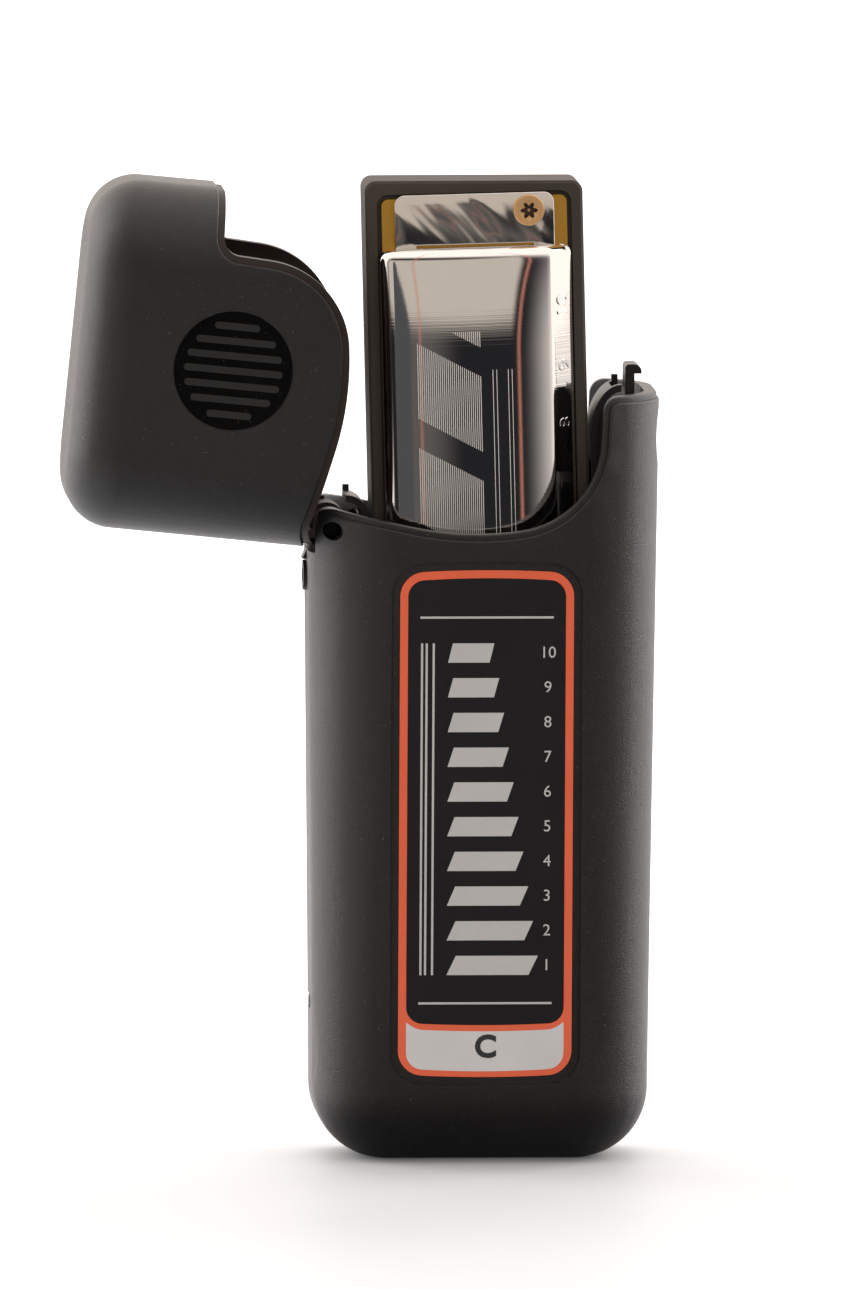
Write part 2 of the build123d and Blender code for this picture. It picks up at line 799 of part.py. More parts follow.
def reed_plate(side):
    """A brass plate on one face of the comb; side is -1 for the label side."""
    root = side_root(side)
    with BuildPart() as plate:
        with BuildSketch(Plane.XZ.offset(-side * core_half)):
            with Locations((0, middle)):
                RectangleRounded(
                    2 * plate_half, comb_length - 2 * (comb_rim + plate_groove), plate_corner
                )
                with GridLocations(2 * plate_screw_x, plate_screw_pitch, 2, plate_screw_rows):
                    Circle(plate_screw_shank + screw_fit, mode=Mode.SUBTRACT)
            with Locations((cover_screw_x, middle)):
                with GridLocations(0, comb_length - 2 * cover_screw_inset, 1, 2):
                    Circle(cover_screw_shank + screw_fit, mode=Mode.SUBTRACT)
            for row in range(hole_count):
                with Locations((root + side * reed_root, row_z(row))):
                    Rectangle(
                        reed_length(row) + reed_slot_gap,
                        reed_width + 2 * reed_slot_gap,
                        align=(Align.MIN if side > 0 else Align.MAX, Align.CENTER),
                        mode=Mode.SUBTRACT,
                    )
        extrude(amount=-side * plate_thick)
    return plate.part


def side_root(side):
    """Label-side reeds are fixed at the mouth end, the others at the far end."""
    return channel_mid - side * channel_length / 2


def reed_row(side):
    """Ten reeds lying on one plate over their slots."""
    with BuildPart() as reeds:
        with BuildSketch(Plane.XZ.offset(-side * plate_face)):
            for row in range(hole_count):
                with Locations((side_root(side), row_z(row))):
                    Rectangle(
                        reed_root + reed_length(row),
                        reed_width,
                        align=(Align.MIN if side > 0 else Align.MAX, Align.CENTER),
                    )
        extrude(amount=-side * reed_thick)
    return reeds.part


def cover(side):
    """A pressed cover: bevelled at the mouth side, rolled over at the open back."""
    bevel_x = cover_right - bevel_width
    with BuildPart() as shell:
        with BuildSketch(Plane.XY.offset(cover_end)) as section:
            with BuildLine():
                foot = Line((cover_left, 0), (cover_right, 0))
                bevel = Line(foot @ 1, (bevel_x, bevel_height))
                crown = ThreePointArc(
                    bevel @ 1, ((bevel_x + cover_left) / 2, crown_height), (cover_left, crown_left)
                )
                Line(crown @ 1, foot @ 0)
            make_face()
            fillet(section.vertices().sort_by_distance((cover_left, crown_left, 0))[0], crown_roll)
        extrude(amount=comb_length - 2 * cover_end)
        ends = shell.faces().filter_by(Axis.Z)
        fillet(ends.edges().filter_by(lambda edge: edge.center().Y > cover_sheet), end_fillet)
        offset(amount=-cover_sheet, openings=shell.faces().filter_by(Axis.Y).sort_by(Axis.Y)[0])
        with BuildSketch(Plane.YZ.offset(cover_left - cover_sheet)):
            with Locations((0, middle)):
                Rectangle(
                    2 * back_gap, comb_length - 2 * (cover_end + back_gap_end), align=Align.CENTER
                )
        extrude(amount=3 * cover_sheet, mode=Mode.SUBTRACT)
        # end tabs, each joined by two legs
        with BuildSketch(Plane.XZ.offset(-cover_sheet)) as tabs:
            with Locations((0, middle)):
                Rectangle(2 * tab_half, comb_length - 2 * tab_margin)
                fillet(tabs.vertices(), tab_corner)
                Rectangle(2 * plate_half, comb_length - 2 * (cover_end + cover_sheet / 2), mode=Mode.SUBTRACT)
                with GridLocations(0, comb_length - 2 * cover_end + tab_slot, 1, 2):
                    Rectangle(2 * tab_slot_half, tab_slot, mode=Mode.SUBTRACT)
            with Locations((cover_screw_x, middle)):
                with GridLocations(0, comb_length - 2 * cover_screw_inset, 1, 2):
                    Circle(cover_screw_shank + screw_fit, mode=Mode.SUBTRACT)
        extrude(amount=cover_sheet)
    placed = Pos(0, plate_face, 0) * shell.part
    return placed if side > 0 else mirror(placed, about=Plane.XZ, mode=Mode.PRIVATE)


reed_plate_front = reed_plate(-1)
reed_plate_front.label = "reed_plate_front"
reed_plate_back = reed_plate(1)
reed_plate_back.label = "reed_plate_back"
reeds_front = reed_row(-1)
reeds_front.label = "reeds_front"
reeds_back = reed_row(1)
reeds_back.label = "reeds_back"
cover_front = cover(-1)
cover_front.label = "cover_front"
cover_back = cover(1)
cover_back.label = "cover_back"

# ---- reed_rivets ----
with BuildPart() as reed_rivets:
    for side in (-1, 1):
        with BuildSketch(Plane.XZ.offset(-side * (plate_face + reed_thick))):
            for row in range(hole_count):
                with Locations((side_root(side) + side * reed_root / 2, row_z(row))):
                    Circle(rivet_radius)
        extrude(amount=-side * rivet_rise)
reed_rivets.part.label = "reed_rivets"

# ---- plate_screws: hold both plates to the comb ----
with BuildPart() as plate_screws:
    with BuildSketch(Plane.XZ.offset(plate_face)):
        with Locations((0, middle)):
            with GridLocations(2 * plate_screw_x, plate_screw_pitch, 2, plate_screw_rows):
                Circle(plate_screw_head)
    extrude(amount=plate_screw_rise)
    with BuildSketch(Plane.XZ.offset(plate_face)):
        with Locations((0, middle)):
            with GridLocations(2 * plate_screw_x, plate_screw_pitch, 2, plate_screw_rows):
                Circle(plate_screw_shank)
    extrude(amount=-2 * plate_face)
plate_screws.part.label = "plate_screws"

# ---- cover_screws: six-lobe screws right through, with nuts behind ----
tab_face = plate_face + cover_sheet
with BuildPart() as cover_screws:
    with BuildSketch(Plane.XZ.offset(tab_face)):
        with Locations((cover_screw_x, middle)):
            with GridLocations(0, comb_length - 2 * cover_screw_inset, 1, 2):
                Circle(cover_screw_head)
    extrude(amount=cover_screw_rise)
    with BuildSketch(Plane.XZ.offset(tab_face + cover_screw_rise)):
        with Locations((cover_screw_x, middle)):
            with GridLocations(0, comb_length - 2 * cover_screw_inset, 1, 2):
                Circle(lobe_ring)
                with PolarLocations(lobe_ring, 6):
                    Circle(lobe_radius)
    extrude(amount=-lobe_depth, mode=Mode.SUBTRACT)
    with BuildSketch(Plane.XZ.offset(tab_face)):
        with Locations((cover_screw_x, middle)):
            with GridLocations(0, comb_length - 2 * cover_screw_inset, 1, 2):
                Circle(cover_screw_shank)
    extrude(amount=-2 * tab_face - nut_thick / 2)
cover_screws.part.label = "cover_screws"

with BuildPart() as cover_nuts:
    with BuildSketch(Plane.XZ.offset(-tab_face)):
        with Locations((cover_screw_x, middle)):
            with GridLocations(0, comb_length - 2 * cover_screw_inset, 1, 2):
                RegularPolygon(nut_radius, 6)
                Circle(cover_screw_shank + screw_fit, mode=Mode.SUBTRACT)
    extrude(amount=-nut_thick)
cover_nuts.part.label = "cover_nuts"

# ---- stand the harmonica in the pocket ----
harp_place = Pos(harp_centre(harp_raised_z), 0, harp_raised_z) * Rot(0, -harp_lean, 0)
for piece in (
    comb.part,
    reed_plate_front,
    reed_plate_back,
    reeds_front,
    reeds_back,
    reed_rivets.part,
    plate_screws.part,
    cover_front,
    cover_back,
    cover_screws.part,
    cover_nuts.part,
):
    piece.move(harp_place)
    export_step(piece, f"parts/{piece.label}.step")
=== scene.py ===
from math import atan2, cos, hypot, pi, radians, sin, sqrt, tan

import bmesh
import bpy
from mathutils import Matrix, Vector


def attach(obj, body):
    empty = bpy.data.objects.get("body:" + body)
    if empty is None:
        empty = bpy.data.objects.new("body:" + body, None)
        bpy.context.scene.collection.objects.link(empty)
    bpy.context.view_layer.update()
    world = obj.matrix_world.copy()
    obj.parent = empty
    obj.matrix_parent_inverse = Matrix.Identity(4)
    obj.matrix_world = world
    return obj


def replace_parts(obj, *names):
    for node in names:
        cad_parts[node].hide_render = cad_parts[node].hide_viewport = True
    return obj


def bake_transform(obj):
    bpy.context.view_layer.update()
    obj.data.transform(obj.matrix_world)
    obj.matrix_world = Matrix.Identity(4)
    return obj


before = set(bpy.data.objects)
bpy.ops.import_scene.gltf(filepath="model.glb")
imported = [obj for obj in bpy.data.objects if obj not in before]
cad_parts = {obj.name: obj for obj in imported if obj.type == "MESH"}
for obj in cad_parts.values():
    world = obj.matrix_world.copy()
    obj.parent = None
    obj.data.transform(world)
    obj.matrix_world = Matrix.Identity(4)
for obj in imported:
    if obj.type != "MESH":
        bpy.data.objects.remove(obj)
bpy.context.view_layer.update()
mm = 0.001


def linked(name, data):
    thing = bpy.data.objects.new(name, data)
    bpy.context.collection.objects.link(thing)
    return thing


camera = dict(target=(-6.4, 0, 66.1), azimuth=-3.9, elevation=6.0, roll=0.27, distance=4000, tall=166.3)


def makeCamera():
    turn, rise = radians(camera["azimuth"]), radians(camera["elevation"])
    back = Vector((sin(turn) * cos(rise), -cos(turn) * cos(rise), sin(rise)))
    data = bpy.data.cameras.new("camera")
    eye = linked("camera", data)
    eye.location = (Vector(camera["target"]) + back * camera["distance"]) * mm
    eye.rotation_mode = "QUATERNION"
    spin = Matrix.Rotation(radians(camera["roll"]), 4, back)
    eye.rotation_quaternion = spin.to_quaternion() @ (-back).to_track_quat("-Z", "Y")
    data.sensor_width = 36
    data.lens = 36 * camera["distance"] / camera["tall"]
    data.clip_start, data.clip_end = 0.01, 20
    bpy.context.scene.camera = eye


makeCamera()
print("camera ready")

# grain is the depth of the texture in mm, and grainSize how fine it is
finishes = {
    "caseBlack": dict(
        color=(0.0058, 0.0056, 0.0058), rough=0.31, shine=0.5, sheen=0.015,
        grain=0.08, grainSize=9000, dust=0.25,
    ),
    "linerBlack": dict(
        color=(0.0050, 0.0050, 0.0053), rough=0.34, shine=0.5, sheen=0.0, grain=0.03, grainSize=5000, dust=0.1
    ),
    # the lid's lining is browner than the case: a painted warm sheen, which also shows as painted highlights on
    # the hinge knuckles
    "linerWarm": dict(
        color=(0.0130, 0.0080, 0.0062), rough=0.45, shine=0.4, sheen=0.0, grain=0.03, grainSize=5000, dust=0.1
    ),
    "badgeBar": dict(
        color=(0.008, 0.008, 0.008), rough=0.5, shine=0.4, sheen=0.08, grain=0.03, grainSize=9000, dust=0.1
    ),
    "badgeGloss": dict(
        color=(0.0012, 0.0012, 0.0012), rough=0.14, shine=0.4, sheen=0.0, grain=0.004, grainSize=3000, dust=0.1
    ),
    "combGrey": dict(
        color=(0.037, 0.030, 0.024), rough=0.5, shine=0.14, sheen=0.02, grain=0.04, grainSize=6000, dust=0.15
    ),
    "steel": dict(color=(0.56, 0.56, 0.57), rough=0.28, metal=1.0),
    "darkSteel": dict(color=(0.012, 0.012, 0.013), rough=0.5, metal=1.0),
    "brass": dict(color=(0.42, 0.22, 0.030), rough=0.42, metal=0.6),
    "screwCopper": dict(color=(0.80, 0.48, 0.22), rough=0.30, metal=0.72),
    # screwShade is the painted shade inside the screw sockets
    "screwShade": dict(color=(0.040, 0.018, 0.007), rough=0.5, metal=0.2),
    "chrome": dict(color=(0.86, 0.85, 0.84), rough=0.045, metal=1.0),
}


def newMaterial(name):
    made = bpy.data.materials.new(name)
    made.use_nodes = True
    shader = made.node_tree.nodes["Principled BSDF"]
    return made, made.node_tree, shader


def mathNode(tree, kind, a, b=None, c=None):
    node = tree.nodes.new("ShaderNodeMath")
    node.operation = kind
    for socket, value in zip(node.inputs, (a, b, c)):
        if value is None:
            continue
        if isinstance(value, (int, float)):
            socket.default_value = value
        else:
            tree.links.new(value, socket)
    return node.outputs[0]


def objectPlace(tree):
    return tree.nodes.new("ShaderNodeTexCoord").outputs["Object"]


def stretched(tree, place, scale, turn=(0, 0, 0), kind="POINT"):
    node = tree.nodes.new("ShaderNodeMapping")
    node.vector_type = kind
    node.inputs["Scale"].default_value = scale
    node.inputs["Rotation"].default_value = turn
    tree.links.new(place, node.inputs["Vector"])
    return node.outputs[0]


def noiseOf(tree, place, scale, detail=3.0, rough=0.5):
    node = tree.nodes.new("ShaderNodeTexNoise")
    node.inputs["Scale"].default_value = scale
    node.inputs["Detail"].default_value = detail
    node.inputs["Roughness"].default_value = rough
    tree.links.new(place, node.inputs["Vector"])
    return node.outputs[0]


def mixColor(tree, factor, a, b):
    node = tree.nodes.new("ShaderNodeMix")
    node.data_type = "RGBA"
    if isinstance(factor, float):
        node.inputs[0].default_value = factor
    else:
        tree.links.new(factor, node.inputs[0])
    for socket, value in ((node.inputs[6], a), (node.inputs[7], b)):
        if isinstance(value, tuple):
            socket.default_value = (*value, 1)
        else:
            tree.links.new(value, socket)
    return node.outputs[2]


# runs smoothly from 0 at start to 1 at end, whichever is larger
def fade(tree, value, start, end):
    node = tree.nodes.new("ShaderNodeMapRange")
    node.interpolation_type = "SMOOTHSTEP"
    low, high, out0, out1 = (start, end, 0.0, 1.0) if start < end else (end, start, 1.0, 0.0)
    node.inputs["From Min"].default_value, node.inputs["From Max"].default_value = low, high
    node.inputs["To Min"].default_value, node.inputs["To Max"].default_value = out0, out1
    tree.links.new(value, node.inputs["Value"])
    return node.outputs[0]


def bumpFrom(tree, shader, height, distance, strength=1.0, under=None):
    node = tree.nodes.new("ShaderNodeBump")
    node.inputs["Strength"].default_value = strength
    node.inputs["Distance"].default_value = distance
    tree.links.new(height, node.inputs["Height"])
    if under is not None:
        tree.links.new(under, node.inputs["Normal"])
    tree.links.new(node.outputs[0], shader.inputs["Normal"])
    return node.outputs[0]


# a colour that drifts between a darker and a paler tone of itself
def driftingColor(tree, drift, color, look):
    dark = tuple(look["darker"] * part for part in color)
    pale = tuple(min(1, look["paler"] * part) for part in color)
    return mixColor(tree, drift, dark, pale)


plasticLook = dict(
    cloudSize=60, darker=0.8, paler=1.25, roughDrift=0.10, sheenRough=0.45,
    speckSize=2600, speckFrom=0.745, speckGain=14.0, speckColor=(0.16, 0.15, 0.14),
)


def mouldedPlastic(name, color, rough, shine, sheen, grain, grainSize, dust):
    made, tree, shader = newMaterial(name)
    look, place = plasticLook, objectPlace(tree)
    cloud = noiseOf(tree, place, look["cloudSize"], 4)
    base = driftingColor(tree, cloud, color, look)
    speck = noiseOf(tree, place, look["speckSize"], 1.0)  # a few grains of dust
    speck = mathNode(tree, "SUBTRACT", speck, look["speckFrom"])
    speck = mathNode(tree, "MULTIPLY", speck, look["speckGain"])
    speck = mathNode(tree, "MINIMUM", mathNode(tree, "MAXIMUM", speck, 0.0), dust)
    tree.links.new(mixColor(tree, speck, base, look["speckColor"]), shader.inputs["Base Color"])
    ramp = mathNode(tree, "MULTIPLY_ADD", cloud, look["roughDrift"], rough - look["roughDrift"] / 2)
    tree.links.new(ramp, shader.inputs["Roughness"])
    shader.inputs["Specular IOR Level"].default_value = shine
    shader.inputs["Sheen Weight"].default_value = sheen
    shader.inputs["Sheen Roughness"].default_value = look["sheenRough"]
    bumpFrom(tree, shader, noiseOf(tree, place, grainSize, 2.0), grain * mm)
    return made


metalLook = dict(
    cloudSize=90, darker=0.94, paler=1.04, streakSize=900, streakStretch=(0.12, 1, 1), streakDeep=0.0012
)


def plainMetal(name, color, rough, metal):
    made, tree, shader = newMaterial(name)
    look, place = metalLook, objectPlace(tree)
    cloud = noiseOf(tree, place, look["cloudSize"], 3)
    tree.links.new(driftingColor(tree, cloud, color, look), shader.inputs["Base Color"])
    tree.links.new(mathNode(tree, "MULTIPLY_ADD", cloud, rough * 0.5, rough * 0.75), shader.inputs["Roughness"])
    shader.inputs["Metallic"].default_value = metal
    streaks = noiseOf(tree, stretched(tree, place, look["streakStretch"]), look["streakSize"], 3.0)
    bumpFrom(tree, shader, streaks, look["streakDeep"] * mm)
    return made


materials = {}
for name, values in finishes.items():
    maker = plainMetal if "metal" in values else mouldedPlastic
    materials[name] = maker(name, **values)
print("finishes ready")


def addMesh(name, mesh, body, finish):
    piece = linked(name, mesh)
    mesh.materials.clear()
    mesh.materials.append(materials[finish])
    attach(piece, body)
    return piece


shading = dict(mergeWithin=1e-7, solidSharp=40, builtSharp=35, weight=50)


def shadeSmooth(mesh, sharp):
    mesh.polygons.foreach_set("use_smooth", [True] * len(mesh.polygons))
    mesh.set_sharp_from_angle(angle=radians(sharp))
    return mesh


def meshFrom(name, work):
    mesh = bpy.data.meshes.new(name)
    bmesh.ops.recalc_face_normals(work, faces=work.faces)
    work.to_mesh(mesh)
    work.free()
    return shadeSmooth(mesh, shading["builtSharp"])


# the evaluated mesh of an object that still has modifiers or is a curve
def flattened(name, maker):
    bpy.context.view_layer.update()
    graph = bpy.context.evaluated_depsgraph_get()
    mesh = bpy.data.meshes.new_from_object(maker.evaluated_get(graph))
    mesh.name = name
    bpy.data.objects.remove(maker)
    return mesh


# a merged copy of a solid's mesh, shaded smooth
def solidForm(node):
    work = bmesh.new()
    work.from_mesh(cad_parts[node].data)
    bmesh.ops.remove_doubles(work, verts=work.verts, dist=shading["mergeWithin"])
    mesh = bpy.data.meshes.new(node + "Form")
    work.to_mesh(mesh)
    work.free()
    mesh.attributes.remove(mesh.attributes["custom_normal"])  # the imported normals don't fit the merged mesh
    return shadeSmooth(mesh, shading["solidSharp"])


def dressedCopy(node, body, finish):
    piece = addMesh(node + "Form", solidForm(node), body, finish)
    weigh = piece.modifiers.new("weigh", "WEIGHTED_NORMAL")
    weigh.keep_sharp = True
    weigh.mode = "FACE_AREA_WITH_ANGLE"
    weigh.weight = shading["weight"]
    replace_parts(piece, node)
    return piece


# a spring as a smooth steel copy that stays where it stands
def dressedSpring(node):
    mesh = solidForm(node)
    piece = linked(node + "Form", mesh)
    mesh.materials.clear()
    mesh.materials.append(materials["steel"])
    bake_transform(piece)
    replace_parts(piece, node)


dressing = {
    "body_shell": ("case_body", "case_black", "caseBlack"),
    "body_liner": ("case_body", "liner_black", "linerBlack"),
    "hinge_pin": ("case_body", "dark_steel", "darkSteel"),
    "latch_hook": ("latch", "latch_black", "linerBlack"),
    "latch_button": ("latch", "latch_black", "linerBlack"),
    "lid_shell": ("lid", "case_black", "caseBlack"),
    "lid_liner": ("lid", "liner_black", "linerWarm"),
    "lid_badge": ("lid", "badge_black", "badgeGloss"),
    "comb": ("harmonica", "comb_grey", "combGrey"),
    "reed_plate_front": ("harmonica", "reed_brass", "brass"),
    "reed_plate_back": ("harmonica", "reed_brass", "brass"),
    "reeds_front": ("harmonica", "reed_brass", "brass"),
    "reeds_back": ("harmonica", "reed_brass", "brass"),
}
dressed = {}
for node, (body, slot, finish) in dressing.items():
    dressed[node] = dressedCopy(node, body, finish)

dressedSpring("hinge_spring")
dressedSpring("latch_spring")

# the badge's raised bars are matt, the floor between them is glossy; barTop is a bar face's greatest depth
badgeRelief = dict(facing=-0.9, barTop=0.05)
badge = dressed["lid_badge"].data
badge.materials.append(materials["badgeBar"])
facing = [polygon for polygon in badge.polygons if polygon.normal.y < badgeRelief["facing"]]
outward = sum((polygon.normal * polygon.area for polygon in facing), Vector()).normalized()
top = max(vertex.co @ outward for vertex in badge.vertices)
for polygon in badge.polygons:
    if min(badge.vertices[index].co @ outward for index in polygon.vertices) > top - badgeRelief["barTop"] * mm:
        polygon.material_index = 1
print("case and frame dressed")

# how the harmonica stands in the pocket
harp = dict(lean=1.6, mouthX=-0.2, mouthZ=84.0, raisedZ=24.6, length=102.0, plateFace=4.65, sheet=0.5)
harp["footX"] = harp["mouthX"] - (harp["raisedZ"] - harp["mouthZ"]) * tan(radians(harp["lean"]))
harpPlace = (
    Matrix.Scale(mm, 4)
    @ Matrix.Translation((harp["footX"], 0, harp["raisedZ"]))
    @ Matrix.Rotation(radians(-harp["lean"]), 4, "Y")
)
middleZ = harp["length"] / 2

# blocks of fine lines and four plain rules; places and widths in mm on the cover
engraving = dict(
    pitch=0.26, lineEdges=(0.17, 0.12), slant=0.55, blockStep=13.5, blockShare=0.72,
    across=(-8.1, 0.2), along=(19.0, 83.0), rules=(1.6, 2.1, 3.6, 4.1), ruleAlong=(24.0, 78.0), ruleHalf=0.04,
    color=(0.75, 0.73, 0.70), dull=0.45, deep=0.01, strength=0.6,
    cloudSize=3.0, darker=0.95, paler=1.0, brushSize=4.0, brushStretch=(0.02, 12, 1), brushDeep=0.0050,
)


# keeps an area only where a value in cm lies between two edges in mm
def within(tree, area, value, edges):
    for edge, kind in zip(edges, ("GREATER_THAN", "LESS_THAN")):
        area = mathNode(tree, "MULTIPLY", area, mathNode(tree, kind, value, edge / 10))
    return area


def engravedChrome():
    made, tree, shader = newMaterial("engravedChrome")
    look, base = engraving, finishes["chrome"]
    place = tree.nodes.new("ShaderNodeUVMap").outputs[0]
    parts = tree.nodes.new("ShaderNodeSeparateXYZ")
    tree.links.new(place, parts.inputs[0])
    across, along = parts.outputs["X"], parts.outputs["Y"]  # the cover's own map is in cm
    step = look["pitch"] / 10
    line = mathNode(tree, "PINGPONG", across, step / 2)
    line = fade(tree, line, *(step * edge for edge in look["lineEdges"]))
    slant = mathNode(tree, "MULTIPLY_ADD", across, look["slant"], along)
    block = mathNode(tree, "FRACT", mathNode(tree, "DIVIDE", slant, look["blockStep"] / 10))
    block = mathNode(tree, "LESS_THAN", block, look["blockShare"])
    area = mathNode(tree, "MULTIPLY", line, block)
    area = within(tree, area, across, look["across"])
    area = within(tree, area, along, look["along"])
    for middle in look["rules"]:
        near = mathNode(tree, "ABSOLUTE", mathNode(tree, "SUBTRACT", across, middle / 10))
        rule = mathNode(tree, "LESS_THAN", near, look["ruleHalf"] / 10)
        area = mathNode(tree, "MAXIMUM", area, within(tree, rule, along, look["ruleAlong"]))
    cloud = noiseOf(tree, place, look["cloudSize"], 3)
    tone = driftingColor(tree, cloud, base["color"], look)
    tree.links.new(mixColor(tree, area, tone, look["color"]), shader.inputs["Base Color"])
    polish = mathNode(tree, "MULTIPLY_ADD", cloud, base["rough"] * 0.4, base["rough"] * 0.8)
    tree.links.new(mathNode(tree, "MULTIPLY_ADD", area, look["dull"], polish), shader.inputs["Roughness"])
    tree.links.new(mathNode(tree, "MULTIPLY_ADD", area, -look["dull"], 1.0), shader.inputs["Metallic"])
    brushed = noiseOf(tree, stretched(tree, place, look["brushStretch"]), look["brushSize"], 2.0)
    under = bumpFrom(tree, shader, brushed, look["brushDeep"] * mm)
    bumpFrom(tree, shader, mathNode(tree, "MULTIPLY", area, -1.0), look["deep"] * mm, look["strength"], under)
    return made


materials["engravedChrome"] = engravedChrome()

tabWarp = dict(
    color=(0.84, 0.81, 0.78), rough=0.11, tilt=0.066,
    waves=240, detail=1.5, stretch=(1, 1, 4), slant=-42, deep=0.7,
)


# a thin flat end that leans back a little and has shallow slanting waves
def tabChrome():
    made, tree, shader = newMaterial("tabChrome")
    place = objectPlace(tree)
    shader.inputs["Base Color"].default_value = (*tabWarp["color"], 1)
    shader.inputs["Metallic"].default_value = 1.0
    shader.inputs["Roughness"].default_value = tabWarp["rough"]
    slanted = stretched(tree, place, tabWarp["stretch"], (0, radians(tabWarp["slant"]), 0), "TEXTURE")
    waves = noiseOf(tree, slanted, tabWarp["waves"], tabWarp["detail"])
    parts = tree.nodes.new("ShaderNodeSeparateXYZ")
    tree.links.new(place, parts.inputs[0])
    lean = mathNode(tree, "MULTIPLY", parts.outputs["Z"], -tabWarp["tilt"])
    height = mathNode(tree, "MULTIPLY_ADD", waves, tabWarp["deep"] * mm, lean)
    bumpFrom(tree, shader, height, 1.0)
    return made


materials["tabChrome"] = tabChrome()

# the covers and their end tabs in mm, and how many steps each curve takes
coverForm = dict(
    left=-12.45, right=12.4, end=8.4, crown=5.3, crownLeft=4.3, roll=2.0, bevelWidth=2.6, bevelHeight=3.2,
    crease=0.32, backGap=1.6, backGapEnd=4.0, endFillet=1.6, endReach=13.0, endFall=0.24,
    tabHalf=10.3, tabMargin=1.6, tabCorner=1.3, slotHalf=7.6, slot=0.55, legDeep=1.0,
    tabBevel=0.13, tabBevelSteps=3, tabBevelAngle=50,
)
coverSteps = dict(roll=12, crown=46, crease=6, bevel=8, fillet=8, reach=22, middle=12, tabCorner=8)


# middle and radius of the circle through three points
def circleThrough(a, b, c):
    (ax, ay), (bx, by), (cx, cy) = a, b, c
    d = 2 * (ax * (by - cy) + bx * (cy - ay) + cx * (ay - by))
    ux = ((ax**2 + ay**2) * (by - cy) + (bx**2 + by**2) * (cy - ay) + (cx**2 + cy**2) * (ay - by)) / d
    uy = ((ax**2 + ay**2) * (cx - bx) + (bx**2 + by**2) * (ax - cx) + (cx**2 + cy**2) * (bx - ax)) / d
    return ux, uy, hypot(ax - ux, ay - uy)


# points across the cover from the open back to the mouth side, as (across, height)
def coverSection():
    f, steps = coverForm, coverSteps
    bevelX = f["right"] - f["bevelWidth"]
    mid = (bevelX + f["left"]) / 2
    cx, cy, radius = circleThrough((bevelX, f["bevelHeight"]), (mid, f["crown"]), (f["left"], f["crownLeft"]))
    rollX = f["left"] + f["roll"]
    rollY = cy + sqrt((radius - f["roll"]) ** 2 - (rollX - cx) ** 2)
    meet = atan2(rollY - cy, rollX - cx)
    points = [(f["left"], 0.0), (f["left"], f["backGap"])]
    for step in range(steps["roll"] + 1):
        turn = pi + (meet - pi) * step / steps["roll"]
        points.append((rollX + f["roll"] * cos(turn), rollY + f["roll"] * sin(turn)))
    last = atan2(f["bevelHeight"] - cy, bevelX - cx)
    for step in range(1, steps["crown"]):
        turn = meet + (last - meet) * step / steps["crown"]
        points.append((cx + radius * cos(turn), cy + radius * sin(turn)))
    before, crease = points[-1], (bevelX, f["bevelHeight"])
    after = (bevelX + f["crease"], f["bevelHeight"] - f["crease"] * f["bevelHeight"] / f["bevelWidth"])
    for step in range(1, steps["crease"]):
        t = step / steps["crease"]
        ends = zip(before, crease, after)
        points.append(tuple(a * (1 - t) ** 2 + 2 * b * t * (1 - t) + c * t * t for a, b, c in ends))
    for step in range(steps["bevel"] + 1):
        t = step / steps["bevel"]
        points.append((after[0] + (f["right"] - after[0]) * t, after[1] * (1 - t)))
    return points


# the unit normals of a section, pointing to its inside
def inwardOf(points):
    normals = []
    for index in range(len(points)):
        a, b = points[max(index - 1, 0)], points[min(index + 1, len(points) - 1)]
        length = hypot(b[0] - a[0], b[1] - a[1])
        normals.append(((b[1] - a[1]) / length, -(b[0] - a[0]) / length))
    return normals


def coverMesh(name, side):
    f, steps, points = coverForm, coverSteps, coverSection()
    inward = inwardOf(points)
    low, high = f["end"], harp["length"] - f["end"]
    stations = []  # (depth from the end face, inset of the section)
    for step in range(steps["fillet"] + 1):
        turn = pi / 2 * step / steps["fillet"]
        stations.append((f["endFillet"] * (1 - sin(turn)), f["endFillet"] * (1 - cos(turn))))
    stations.reverse()
    reach, middle = f["endReach"] - f["endFillet"], high - low - 2 * f["endReach"]
    stations += [(f["endFillet"] + reach * step / steps["reach"], 0.0) for step in range(1, steps["reach"] + 1)]
    slices = [(low + depth, inset, depth) for depth, inset in stations]
    for step in range(1, steps["middle"]):
        slices.append((low + f["endReach"] + middle * step / steps["middle"], 0.0, f["endReach"]))
    slices += [(high - depth, inset, depth) for depth, inset in stations[::-1]]
    work = bmesh.new()
    layer = work.loops.layers.uv.new("cover")
    rows = []
    for z, inset, depth in slices:
        fall = f["endFall"] * max(0.0, (f["endReach"] - depth) / f["endReach"]) ** 2
        row = []
        for (x, h), (nx, nh) in zip(points, inward):
            px, ph = x + nx * inset, max(0.0, h + nh * inset) * (1 - fall)
            row.append(work.verts.new((px, side * (harp["plateFace"] + ph), z)))
        rows.append((z, row))
    for (z0, row0), (z1, row1) in zip(rows, rows[1:]):
        openBack = z0 > low + f["backGapEnd"] and z1 < high - f["backGapEnd"]
        for index in range(len(points) - 1):
            if index == 0 and openBack:
                continue
            face = work.faces.new((row0[index], row0[index + 1], row1[index + 1], row1[index]))
            for loop, (u, v) in zip(face.loops, ((index, z0), (index + 1, z0), (index + 1, z1), (index, z1))):
                loop[layer].uv = (points[u][0] / 10, v / 10)
    for z, row in (rows[0], rows[-1]):
        work.faces.new(row)
    mesh = bpy.data.meshes.new(name)
    bmesh.ops.recalc_face_normals(work, faces=work.faces)
    if sum(face.normal.y * side for face in work.faces) < 0:
        bmesh.ops.reverse_faces(work, faces=work.faces)
    work.to_mesh(mesh)
    work.free()
    shell = linked(name, mesh)
    thick = shell.modifiers.new("thick", "SOLIDIFY")
    thick.thickness = harp["sheet"]
    thick.offset = -1
    return flattened(name, shell)


